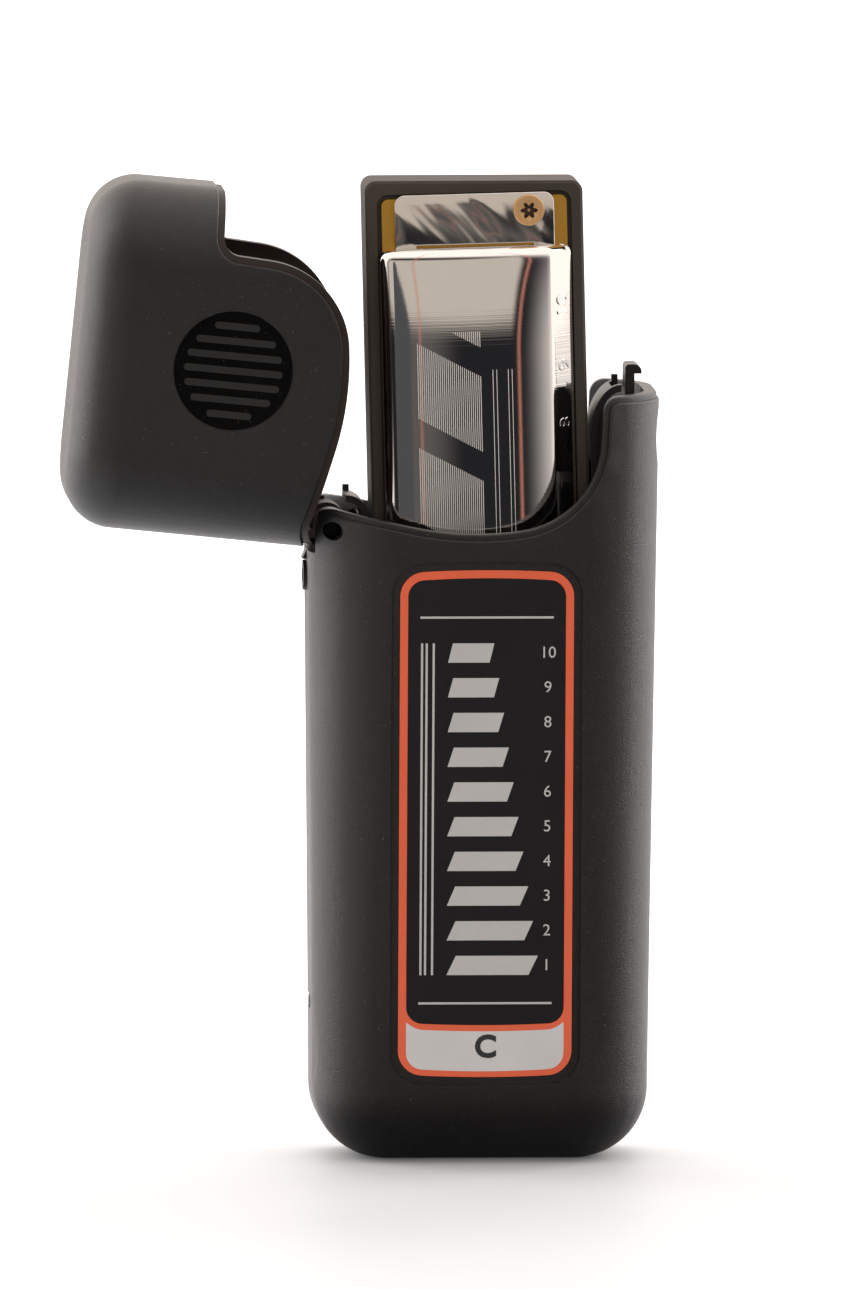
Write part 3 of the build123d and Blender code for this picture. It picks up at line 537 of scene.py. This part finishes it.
# one end tab seen from outside, its legs running in under the cover's end
def tabOutline(turned):
    f, steps = coverForm, coverSteps["tabCorner"]
    outer, inner = f["tabMargin"], f["end"] + f["legDeep"]
    corners = []
    for cx, start in ((f["tabHalf"] - f["tabCorner"], -90), (-f["tabHalf"] + f["tabCorner"], 180)):
        turns = [radians(start + 90 * step / steps) for step in range(steps + 1)]
        corner = [(cx + f["tabCorner"] * cos(turn), outer + f["tabCorner"] * (1 + sin(turn))) for turn in turns]
        corners.append(corner)
    edge = f["end"] - f["slot"] / 2
    legs = [
        (f["tabHalf"], inner), (f["slotHalf"], inner), (f["slotHalf"], edge),
        (-f["slotHalf"], edge), (-f["slotHalf"], inner), (-f["tabHalf"], inner),
    ]
    points = corners[0] + legs + corners[1]
    if turned:
        points = [(x, harp["length"] - z) for x, z in reversed(points)]
    return points


def tabMesh(name, side, turned):
    f, work = coverForm, bmesh.new()
    base, top = side * harp["plateFace"], side * (harp["plateFace"] + harp["sheet"])
    low = [work.verts.new((x, base, z)) for x, z in tabOutline(turned)]
    high = [work.verts.new((x, top, z)) for x, z in tabOutline(turned)]
    work.faces.new(low)
    work.faces.new(high[::-1])
    for index in range(len(low)):
        after = (index + 1) % len(low)
        work.faces.new((low[after], low[index], high[index], high[after]))
    bmesh.ops.recalc_face_normals(work, faces=work.faces)
    mesh = bpy.data.meshes.new(name)
    work.to_mesh(mesh)
    work.free()
    tab = linked(name, mesh)
    edge = tab.modifiers.new("edge", "BEVEL")
    edge.width, edge.segments = f["tabBevel"], f["tabBevelSteps"]
    edge.limit_method, edge.angle_limit = "ANGLE", radians(f["tabBevelAngle"])
    return flattened(name, tab)


def joined(name, meshes, place=None):
    work = bmesh.new()
    for mesh in meshes:
        work.from_mesh(mesh)
        bpy.data.meshes.remove(mesh)
    made = bpy.data.meshes.new(name)
    work.to_mesh(made)
    work.free()
    shadeSmooth(made, shading["builtSharp"])
    if place is not None:
        made.transform(place)
    return made


def signMesh(words, size, extrude, bevel, bold=0.0):
    text = bpy.data.curves.new("sign", "FONT")
    text.body, text.size = words, size
    text.align_x, text.align_y = "CENTER", "CENTER"
    text.extrude, text.bevel_depth, text.offset = extrude, bevel, bold
    text.bevel_resolution, text.resolution_u = 1, 4
    mesh = flattened("sign", linked("sign", text))
    bpy.data.curves.remove(text)
    return mesh


numbers = dict(size=3.3, raised=0.03, edge=0.05, lift=-0.01, shift=0.5, pitch=7.6, count=10)


# one number by each hole, along the bevel of the front cover
def numberMeshes():
    f = coverForm
    bevelX = f["right"] - f["bevelWidth"]
    rise = Vector((-f["bevelWidth"], -f["bevelHeight"], 0)).normalized()
    out = Vector((f["bevelHeight"], -f["bevelWidth"], 0)).normalized()
    turn = Matrix((Vector((0, 0, 1)), rise, out)).transposed().to_4x4()
    x, y = (bevelX + f["right"]) / 2, -harp["plateFace"] - f["bevelHeight"] / 2
    meshes = []
    for index in range(numbers["count"]):
        mesh = signMesh(str(index + 1), numbers["size"], numbers["raised"], numbers["edge"])
        z = middleZ + (index - (numbers["count"] - 1) / 2) * numbers["pitch"] + numbers["shift"]
        spot = Vector((x, y, z)) + out * numbers["lift"]
        mesh.transform(Matrix.Translation(spot) @ turn)
        meshes.append(mesh)
    return meshes


for side, face in ((-1, "front"), (1, "back")):
    node = "cover_" + face
    shell = joined(node + "Shell", [coverMesh("shell", side)], harpPlace)
    finish = "engravedChrome" if side < 0 else "chrome"
    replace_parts(addMesh(node + "Shell", shell, "harmonica", finish), node)
    tabs = joined(node + "Tabs", [tabMesh("tab", side, turned) for turned in (False, True)], harpPlace)
    addMesh(node + "Tabs", tabs, "harmonica", "tabChrome")
signs = joined("coverNumbers", numberMeshes(), harpPlace)
addMesh("coverNumbers", signs, "harmonica", "chrome")
print("covers ready")


# rings of (radius or outline function, height) joined into one turned form
def ringStack(name, rings, around, loop=False):
    work = bmesh.new()
    made = []
    for radius, height in rings:
        row = []
        for index in range(around):
            turn = 2 * pi * index / around
            r = radius(turn) if callable(radius) else radius
            row.append(work.verts.new((r * cos(turn), r * sin(turn), height)))
        made.append(row)
    pairs = list(zip(made, made[1:])) + ([(made[-1], made[0])] if loop else [])
    for row0, row1 in pairs:
        for index in range(around):
            after = (index + 1) % around
            work.faces.new((row0[index], row0[after], row1[after], row1[index]))
    if not loop:
        for row in (made[0], made[-1]):
            work.faces.new(row)
    return meshFrom(name, work)


# outlines for ringStack: the radius at each turn
def hexagon(size):
    return lambda turn: size * cos(pi / 6) / cos((turn % (pi / 3)) - pi / 6)


def sixLobe(ring, lobe):
    return lambda turn: ring + lobe * (0.5 + 0.5 * cos(6 * turn)) ** 0.8


# repeats a piece along a straight row; each next one may be shorter
def rowTree():
    tree = bpy.data.node_groups.new("rowOfPieces", "GeometryNodeTree")
    tree.interface.new_socket("Geometry", in_out="OUTPUT", socket_type="NodeSocketGeometry")
    for label, kind in (
        ("Piece", "Object"), ("Count", "Int"), ("Start", "Vector"), ("Step", "Vector"),
        ("Turn", "Vector"), ("Shorten", "Float"), ("Finish", "Material"),
    ):
        tree.interface.new_socket(label, in_out="INPUT", socket_type="NodeSocket" + kind)
    given, result = tree.nodes.new("NodeGroupInput").outputs, tree.nodes.new("NodeGroupOutput")

    def added(kind, sources):
        node = tree.nodes.new(kind)
        for label, source in sources.items():
            tree.links.new(source, node.inputs[label])
        return node

    line = tree.nodes.new("GeometryNodeMeshLine")
    line.mode = "OFFSET"
    for label, source in (("Count", "Count"), ("Start Location", "Start"), ("Offset", "Step")):
        tree.links.new(given[source], line.inputs[label])
    pattern = added("GeometryNodeObjectInfo", {"Object": given["Piece"]}).outputs["Geometry"]
    order = tree.nodes.new("GeometryNodeInputIndex").outputs[0]
    left = mathNode(tree, "SUBTRACT", 1.0, mathNode(tree, "MULTIPLY", order, given["Shorten"]))
    size = added("ShaderNodeCombineXYZ", {"X": left})
    size.inputs["Y"].default_value = size.inputs["Z"].default_value = 1.0
    copies = added("GeometryNodeInstanceOnPoints", {
        "Points": line.outputs[0], "Instance": pattern, "Rotation": given["Turn"], "Scale": size.outputs[0],
    })
    real = added("GeometryNodeRealizeInstances", {"Geometry": copies.outputs[0]})
    painted = added("GeometryNodeSetMaterial", {"Geometry": real.outputs[0], "Material": given["Finish"]})
    tree.links.new(painted.outputs[0], result.inputs[0])
    return tree


rowOfPieces = rowTree()
rowInputs = {item.name: item.identifier for item in rowOfPieces.interface.items_tree if item.in_out == "INPUT"}


def rowMesh(form, count, start, step, finish, turn=(0, 0, 0), shorten=0.0):
    carrier, pattern = linked("row", bpy.data.meshes.new("row")), linked("pattern", form)
    maker = carrier.modifiers.new("row", "NODES")
    maker.node_group = rowOfPieces
    for label, value in (
        ("Piece", pattern), ("Count", count), ("Start", start), ("Step", step),
        ("Turn", turn), ("Shorten", shorten), ("Finish", materials[finish]),
    ):
        maker[rowInputs[label]] = value
    mesh = flattened("row", carrier)
    bpy.data.objects.remove(pattern)
    return mesh


# rings are (radius or outline, height) in mm, the height from the face that the piece sits on
fasteners = dict(
    pitch=7.6, reedLong=16.4, reedRoot=2.4, channelRight=11.15, rivetCount=10, rivetRaise=0.25,
    plateScrewX=9.9, plateScrewPitch=30.4, plateScrewCount=3, coverScrewX=7.0, coverScrewInset=3.9,
    rivet=[(0.70, 0.0), (0.70, 0.14), (0.62, 0.30), (0.42, 0.41), (0.18, 0.45)],
    plateScrew=[(0.75, -9.3), (0.75, 0.0), (1.10, 0.0), (1.10, 0.22), (1.00, 0.38), (0.75, 0.48), (0.4, 0.5)],
)
outFront, outBack = (pi / 2, 0, 0), (-pi / 2, 0, 0)
channelLength = fasteners["reedLong"] + fasteners["reedRoot"]
channelMid = fasteners["channelRight"] - channelLength / 2


def rivetRows():
    f = fasteners
    form = ringStack("rivet", f["rivet"], 16)
    meshes = []
    for side, turn in ((-1, outFront), (1, outBack)):
        x = channelMid - side * channelLength / 2 + side * f["reedRoot"] / 2
        z = middleZ - (f["rivetCount"] - 1) / 2 * f["pitch"]
        start = (x, side * (harp["plateFace"] + f["rivetRaise"]), z)
        meshes.append(rowMesh(form, f["rivetCount"], start, (0, 0, f["pitch"]), "brass", turn))
    return meshes


def plateScrewRows():
    f = fasteners
    form = ringStack("plateScrew", f["plateScrew"], 24)
    meshes = []
    for x in (-f["plateScrewX"], f["plateScrewX"]):
        start = (x, -harp["plateFace"], middleZ - f["plateScrewPitch"])
        step = (0, 0, f["plateScrewPitch"])
        meshes.append(rowMesh(form, f["plateScrewCount"], start, step, "screwCopper", outFront))
    return meshes


# one at each end of the covers, on the front or on the back
def coverPair(form, side, finish):
    start = (fasteners["coverScrewX"], side * (harp["plateFace"] + harp["sheet"]), fasteners["coverScrewInset"])
    step = (0, 0, harp["length"] - 2 * fasteners["coverScrewInset"])
    return rowMesh(form, 2, start, step, finish, outFront if side < 0 else outBack)


coverScrew = dict(
    shank=[(1.0, -10.9), (1.0, 0.0)],
    rim=[(1.93, 0.0), (2.0, 0.08), (2.0, 0.62), (1.96, 0.74)],
    turnings=8, turningFrom=1.9, turningStep=0.09, turningDeep=0.022, face=0.78,
    socket=[(sixLobe(0.63, 0.50), 0.77), (sixLobe(0.62, 0.48), 0.70), (sixLobe(0.60, 0.46), 0.22), (0.2, 0.16)],
    recess=[
        (sixLobe(0.60, 0.47), 0.74), (sixLobe(0.57, 0.44), 0.45), (sixLobe(0.50, 0.38), 0.28), (0.2, 0.24),
        (0.2, 0.10), (sixLobe(0.68, 0.50), 0.10), (sixLobe(0.68, 0.50), 0.72),
    ],
)


def coverScrewRow():
    f, turned = coverScrew, []
    for step in range(f["turnings"]):
        deep = f["turningDeep"] if step % 2 else 0.0
        turned.append((f["turningFrom"] - f["turningStep"] * step, f["face"] - deep))
    form = ringStack("coverScrew", f["shank"] + f["rim"] + turned + f["socket"], 72)
    return [coverPair(form, -1, "screwCopper")]


# a dark cup set inside each cover screw's socket: painted shade in the recess
def screwRecessShadeRow():
    form = ringStack("screwRecess", coverScrew["recess"], 72, loop=True)
    return [coverPair(form, -1, "screwShade")]


coverNut = dict(
    rings=[
        (1.06, 0.0), (hexagon(2.12), 0.0), (hexagon(2.2), 0.1), (hexagon(2.2), 1.05),
        (1.98, 1.2), (1.2, 1.2), (1.06, 1.08),
    ]
)


def coverNutRow():
    return [coverPair(ringStack("coverNut", coverNut["rings"], 48, loop=True), 1, "screwCopper")]


linerScrew = dict(
    rings=[
        (0.6, -5.2), (0.6, 0.0), (0.86, 0.0), (0.9, 0.05), (0.9, 0.7), (0.82, 0.8), (0.6, 0.8),
        (hexagon(0.5), 0.79), (hexagon(0.49), 0.42),
    ],
    wide=43.1, draft=0.7, sink=0.6, heights=(75.2, 20.3),
)


# two in the case's left wall, which widens upward
def linerScrewRow():
    f = linerScrew
    slope = tan(radians(f["draft"]))
    top, low = [Vector((-(f["wide"] / 2 + z * slope) + f["sink"], 0, z)) for z in f["heights"]]
    return [rowMesh(ringStack("linerScrew", f["rings"], 48), 2, top, low - top, "steel", (0, -pi / 2, 0))]


for name, maker, body, slot, node, finish, place in (
    ("reedRivets", rivetRows, "harmonica", "reed_brass", "reed_rivets", "brass", harpPlace),
    ("plateScrews", plateScrewRows, "harmonica", "screw_brass", "plate_screws", "screwCopper", harpPlace),
    ("coverScrews", coverScrewRow, "harmonica", "screw_brass", "cover_screws", "screwCopper", harpPlace),
    ("screwRecesses", screwRecessShadeRow, "harmonica", "screw_brass", "", "screwShade", harpPlace),
    ("coverNuts", coverNutRow, "harmonica", "screw_brass", "cover_nuts", "screwCopper", harpPlace),
    ("linerScrews", linerScrewRow, "case_body", "steel", "liner_screws", "steel", Matrix.Scale(mm, 4)),
):
    piece = addMesh(name, joined(name, maker(), place), body, finish)
    if node:
        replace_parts(piece, node)
print("fasteners ready")

# the label in mm, its own heights from its middle; bodyDeep is the case body's depth at the foot
labelForm = dict(
    z=44.3, width=22.4, height=64.9, bow=0.4, corner=3.0, recess=0.4, thick=0.15, bodyDeep=26.6, draft=0.7,
    border=1.03, foot=0.75, dividerTop=-25.8, dividerLow=-26.6, dividerBow=0.30, fieldCorner=2.0,
    sharpCorner=0.1, horn=0.9, hornReach=2.2, film=0.02, ink=0.035, overlap=0.01, cornerSteps=8, endSteps=40,
)
inks = {
    "labelOrange": dict(color=(0.53, 0.082, 0.031), rough=0.42),
    "labelBlack": dict(color=(0.0048, 0.0044, 0.0056), rough=0.34),
    "labelWhite": dict(color=(0.42, 0.408, 0.405), rough=0.42),
    "labelGrey": dict(color=(0.34, 0.335, 0.33), rough=0.42),
    "labelInk": dict(color=(0.02, 0.02, 0.022), rough=0.40),
}
filmLook = dict(
    cloudSize=120, darker=0.9, paler=1.08, roughDrift=0.12,
    brushSize=6000, brushStretch=(0.08, 1, 1), brushDeep=0.012, strength=0.7,
)


def printedFilm(name, color, rough):
    made, tree, shader = newMaterial(name)
    look, place = filmLook, objectPlace(tree)
    cloud = noiseOf(tree, place, look["cloudSize"], 4)
    tree.links.new(driftingColor(tree, cloud, color, look), shader.inputs["Base Color"])
    ramp = mathNode(tree, "MULTIPLY_ADD", cloud, look["roughDrift"], rough - look["roughDrift"] / 2)
    tree.links.new(ramp, shader.inputs["Roughness"])
    brushed = noiseOf(tree, stretched(tree, place, look["brushStretch"]), look["brushSize"], 3.0)
    bumpFrom(tree, shader, brushed, look["brushDeep"] * mm, look["strength"])
    return made


for name, values in inks.items():
    materials[name] = printedFilm(name, **values)


# a round-cornered panel with bowed ends; horn draws its upper corners out
def panelOutline(left, right, low, high, cornerLow, cornerHigh, bowLow, bowHigh, horn=0.0):
    points, cornerSteps, endSteps = [], labelForm["cornerSteps"], labelForm["endSteps"]
    for cx, cy, corner, start in (
        (right, low, cornerLow, -90), (right, high, cornerHigh, 0),
        (left, high, cornerHigh, 90), (left, low, cornerLow, 180),
    ):
        inX, inY = (cx - corner if cx == right else cx + corner), (cy + corner if cy == low else cy - corner)
        for step in range(cornerSteps + 1):
            turn = radians(start + 90 * step / cornerSteps)
            points.append((inX + corner * cos(turn), inY + corner * sin(turn)))
        if start in (0, 180):  # divide the bowed ends so that they curve
            y, x0 = (high, right - corner) if start == 0 else (low, left + corner)
            span = (left + cornerHigh) - x0 if start == 0 else (right - cornerLow) - x0
            points += [(x0 + span * step / endSteps, y) for step in range(1, endSteps)]
    middle, half = (left + right) / 2, (right - left) / 2
    bowed = []
    for x, y in points:
        share = 1 - ((x - middle) / half) ** 2
        if y > high - cornerHigh:
            inside = half - abs(x - middle)
            y += bowHigh * share + horn * max(0, 1 - inside / labelForm["hornReach"]) ** 2
        elif y < low + cornerLow:
            y -= bowLow * share
        bowed.append((x, y))
    return bowed


# the label's own axes: to the right, up the drafted face and out of it
labelTilt = radians(labelForm["draft"])
labelFace = -(labelForm["bodyDeep"] / 2 + labelForm["z"] * tan(labelTilt))
labelUp, labelOut = Vector((0, -sin(labelTilt), cos(labelTilt))), Vector((0, -cos(labelTilt), -sin(labelTilt)))
labelPlace = (
    Matrix.Scale(mm, 4)
    @ Matrix.Translation((0, labelFace, labelForm["z"]))
    @ Matrix((Vector((1, 0, 0)), labelUp, labelOut)).transposed().to_4x4()
    @ Matrix.Translation((0, 0, -labelForm["recess"]))
)


# a flat piece between two heights above the recess's floor
def plate(name, outline, low, high):
    work = bmesh.new()
    under = [work.verts.new((x, y, low)) for x, y in outline]
    over = [work.verts.new((x, y, high)) for x, y in outline]
    work.faces.new(under[::-1])
    work.faces.new(over)
    for index in range(len(outline)):
        after = (index + 1) % len(outline)
        work.faces.new((under[index], under[after], over[after], over[index]))
    return meshFrom(name, work)


def labelPanels():
    f = labelForm
    half, tall, edge = f["width"] / 2, f["height"] / 2, f["border"]
    sheet = panelOutline(-half, half, -tall, tall, f["corner"], f["corner"], f["bow"], f["bow"])
    field = panelOutline(
        -half + edge, half - edge, f["dividerTop"], tall - edge,
        f["fieldCorner"], f["corner"] - edge, f["dividerBow"], f["bow"],
    )
    keyPanel = panelOutline(
        -half + edge, half - edge, -tall + f["foot"], f["dividerLow"],
        f["fieldCorner"], f["sharpCorner"], f["bow"], -f["dividerBow"], f["horn"],
    )
    under, over = f["thick"] - f["overlap"], f["thick"] + f["film"]
    return (
        ("labelSheet", sheet, 0.0, f["thick"], "labelOrange"),
        ("labelField", field, under, over, "labelBlack"),
        ("labelKeyPanel", keyPanel, under, over, "labelWhite"),
    )


for name, outline, low, high, finish in labelPanels():
    mesh = plate(name, outline, low, high)
    mesh.transform(labelPlace)
    sheet = addMesh(name, mesh, "case_body", finish)
    if name == "labelSheet":
        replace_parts(sheet, "label")

motif = dict(
    bars=10, first=(-5.0, -19.6), pitch=4.5, long=10.6, deep=2.5, slant=1.2, shorten=0.055,
    sideLines=(-8.5, -7.9, -7.0), sideLow=-19.6, sideHigh=23.4, lineWide=0.28,
    endLines=(-23.4, 26.6), endHalf=8.6, numberAt=7.9, numberSize=2.1, numberRaised=0.01, sink=0.005,
)


# ten slanted bars, each a little shorter, beside numbers and thin lines
def labelPrint():
    m = motif
    low, high = labelForm["thick"] + labelForm["film"] - m["sink"], labelForm["thick"] + labelForm["ink"]

    def strip(left, right, bottom, top, slant=0):
        corners = [(left, bottom), (right, bottom), (right + slant, top), (left + slant, top)]
        return plate("strip", corners, low, high)

    bar = strip(0, m["long"], 0, m["deep"], m["slant"])
    meshes = [rowMesh(bar, m["bars"], (*m["first"], 0), (0, m["pitch"], 0), "labelGrey", shorten=m["shorten"])]
    for x in m["sideLines"]:
        meshes.append(strip(x, x + m["lineWide"], m["sideLow"], m["sideHigh"]))
    for y in m["endLines"]:
        meshes.append(strip(-m["endHalf"], m["endHalf"], y, y + m["lineWide"]))
    for index in range(m["bars"]):
        sign = signMesh(str(index + 1), m["numberSize"], m["numberRaised"], 0.0)
        y = m["first"][1] + index * m["pitch"] + m["deep"] / 2
        sign.transform(Matrix.Translation((m["numberAt"], y, (low + high) / 2)))
        meshes.append(sign)
    return meshes


keySign = dict(letter="C", size=4.0, raised=0.015, bold=0.15, shift=0.1, lift=0.005)


def keyLetter():
    mesh = signMesh(keySign["letter"], keySign["size"], keySign["raised"], 0.0, keySign["bold"])
    height = labelForm["thick"] + labelForm["film"] + keySign["lift"]
    middle = (labelForm["dividerLow"] - labelForm["height"] / 2 + labelForm["border"]) / 2
    mesh.transform(Matrix.Translation((keySign["shift"], middle, height)))
    return [mesh]


for name, maker, finish in (("labelPrint", labelPrint, "labelGrey"), ("labelKeyLetter", keyLetter, "labelInk")):
    addMesh(name, joined(name, maker(), labelPlace), "case_body", finish)
print("label ready")

# distances in metres; each pair of edges runs from none to all
floorLook = dict(
    front=-0.3, side=1.5, back=2.5, color=(0.60, 0.625, 0.65), rough=0.5,
    dark=(0.015, 0.015, 0.015), darkAhead=(0.02, -0.02), darkRight=(-0.050, -0.025),
    whiteFrom=(0.06, 0.30), farGlow=0.75, nearGlow=0.04,
)


def makeFloor():
    look = floorLook
    front, side, back = look["front"], look["side"], look["back"]
    mesh = bpy.data.meshes.new("floor")
    corners = [(-side, front, 0), (side, front, 0), (side, back, 0), (-side, back, 0)]
    mesh.from_pydata(corners, [], [(0, 1, 2, 3)])
    floor = linked("floor", mesh)
    made, tree, shader = newMaterial("floorWhite")
    # what the shiny pieces mirror of the floor in front of them is dark
    path = tree.nodes.new("ShaderNodeLightPath")
    parts = tree.nodes.new("ShaderNodeSeparateXYZ")
    tree.links.new(objectPlace(tree), parts.inputs[0])
    mirrored = path.outputs["Is Glossy Ray"]
    for axis, edges in (("Y", look["darkAhead"]), ("X", look["darkRight"])):
        mirrored = mathNode(tree, "MULTIPLY", mirrored, fade(tree, parts.outputs[axis], *edges))
    tree.links.new(mixColor(tree, mirrored, look["color"], look["dark"]), shader.inputs["Base Color"])
    # seen directly, the floor turns to plain white with distance
    far = fade(tree, parts.outputs["Y"], *look["whiteFrom"])
    glow = mathNode(tree, "MULTIPLY_ADD", far, look["farGlow"], look["nearGlow"])
    glow = mathNode(tree, "MULTIPLY", path.outputs["Is Camera Ray"], glow)
    shader.inputs["Emission Color"].default_value = (1, 1, 1, 1)
    tree.links.new(glow, shader.inputs["Emission Strength"])
    shader.inputs["Roughness"].default_value = look["rough"]
    mesh.materials.append(made)


# what surrounds the object: directions as parts of a unit vector, turns in radians from straight in front
studio = dict(
    dark=(0.0180, 0.0178, 0.0200), white=(1.30, 1.17, 1.08), whiteFrom=(-0.80, -0.52), sideLean=0.17,
    grey=(0.115, 0.107, 0.10), greyTurn=(0.13, -0.13), greyAhead=(-0.86, -0.94),
    panel=(0.60, 0.53, 0.46), panelLow=(-0.05, 0.05), panelTop=(0.62, 0.45), panelAhead=(-0.55, -0.75),
    panelTurn=(0.46, 0.42),
    slate=(0.085, 0.084, 0.087), slateAt=(-0.29, 0.080), slateTop=0.45, slateEdge=(1.06, 0.94),
    warm=(0.62, 0.25, 0.18), warmLines=((-0.150, 0.007), (0.480, 0.012)), warmCore=0.4, warmShare=0.8,
)


def makeWorld():
    look = studio
    world = bpy.data.worlds.new("world")
    bpy.context.scene.world = world
    world.use_nodes = True
    tree = world.node_tree
    light = tree.nodes["Background"]
    path = tree.nodes.new("ShaderNodeLightPath")
    sky = tree.nodes.new("ShaderNodeTexCoord")
    parts = tree.nodes.new("ShaderNodeSeparateXYZ")
    tree.links.new(sky.outputs["Generated"], parts.inputs[0])
    ahead, side, up = parts.outputs["Y"], parts.outputs["X"], parts.outputs["Z"]
    toSide = mathNode(tree, "MULTIPLY_ADD", side, look["sideLean"], ahead)
    behind = fade(tree, toSide, *look["whiteFrom"])
    glow = mixColor(tree, behind, look["dark"], look["white"])
    turn = mathNode(tree, "ARCTAN2", side, mathNode(tree, "MULTIPLY", ahead, -1.0))
    # grey band on one side of the front
    grey = fade(tree, turn, *look["greyTurn"])
    grey = mathNode(tree, "MULTIPLY", grey, fade(tree, ahead, *look["greyAhead"]))
    glow = mixColor(tree, grey, glow, look["grey"])
    # soft beige panel high in front
    high = mathNode(tree, "MULTIPLY", fade(tree, up, *look["panelLow"]), fade(tree, up, *look["panelTop"]))
    high = mathNode(tree, "MULTIPLY", high, fade(tree, ahead, *look["panelAhead"]))
    high = mathNode(tree, "MULTIPLY", high, fade(tree, turn, *look["panelTurn"]))
    glow = mixColor(tree, high, glow, look["panel"])
    # slate card to the left of the front, narrower towards its top
    middle, half = look["slateAt"]
    off = mathNode(tree, "ABSOLUTE", mathNode(tree, "SUBTRACT", turn, middle))
    above = mathNode(tree, "DIVIDE", mathNode(tree, "MAXIMUM", up, 0.0), look["slateTop"])
    slate = mathNode(tree, "MULTIPLY_ADD", off, 1 / half, above)
    glow = mixColor(tree, fade(tree, slate, *look["slateEdge"]), glow, look["slate"])
    # two thin warm lines
    for middle, half in look["warmLines"]:
        near = mathNode(tree, "ABSOLUTE", mathNode(tree, "SUBTRACT", turn, middle))
        line = mathNode(tree, "MULTIPLY", fade(tree, near, half, half * look["warmCore"]), look["warmShare"])
        glow = mixColor(tree, line, glow, look["warm"])
    glow = mixColor(tree, path.outputs["Is Camera Ray"], glow, (1.0, 1.0, 1.0))
    tree.links.new(glow, light.inputs["Color"])
    light.inputs["Strength"].default_value = 1.0


# places and sizes in mm
lamps = [
    dict(name="topSoft", place=(0, 420, 620), aim=(0, 0, 60), size=(500, 300), power=2.8, glossy=False),
    dict(name="leftBack", place=(-600, 350, 250), aim=(0, 0, 60), size=(300, 700), power=3.0, glossy=True),
    dict(name="rightBack", place=(600, 350, 250), aim=(0, 0, 60), size=(300, 700), power=3.0, glossy=True),
    dict(name="frontSoft", place=(0, -900, 250), aim=(0, 0, 60), size=(700, 500), power=3.8, glossy=False),
]


def makeLamps():
    for lamp in lamps:
        data = bpy.data.lights.new(lamp["name"], "AREA")
        data.shape = "RECTANGLE"
        data.size, data.size_y = (part * mm for part in lamp["size"])
        data.energy = lamp["power"]
        light = linked(lamp["name"], data)
        light.visible_glossy = lamp["glossy"]
        light.location = Vector(lamp["place"]) * mm
        away = Vector(lamp["aim"]) - Vector(lamp["place"])
        light.rotation_mode = "QUATERNION"
        light.rotation_quaternion = away.to_track_quat("-Z", "Y")


makeFloor()
makeWorld()
makeLamps()
bpy.context.scene.view_settings.view_transform = "Standard"
print("studio ready")
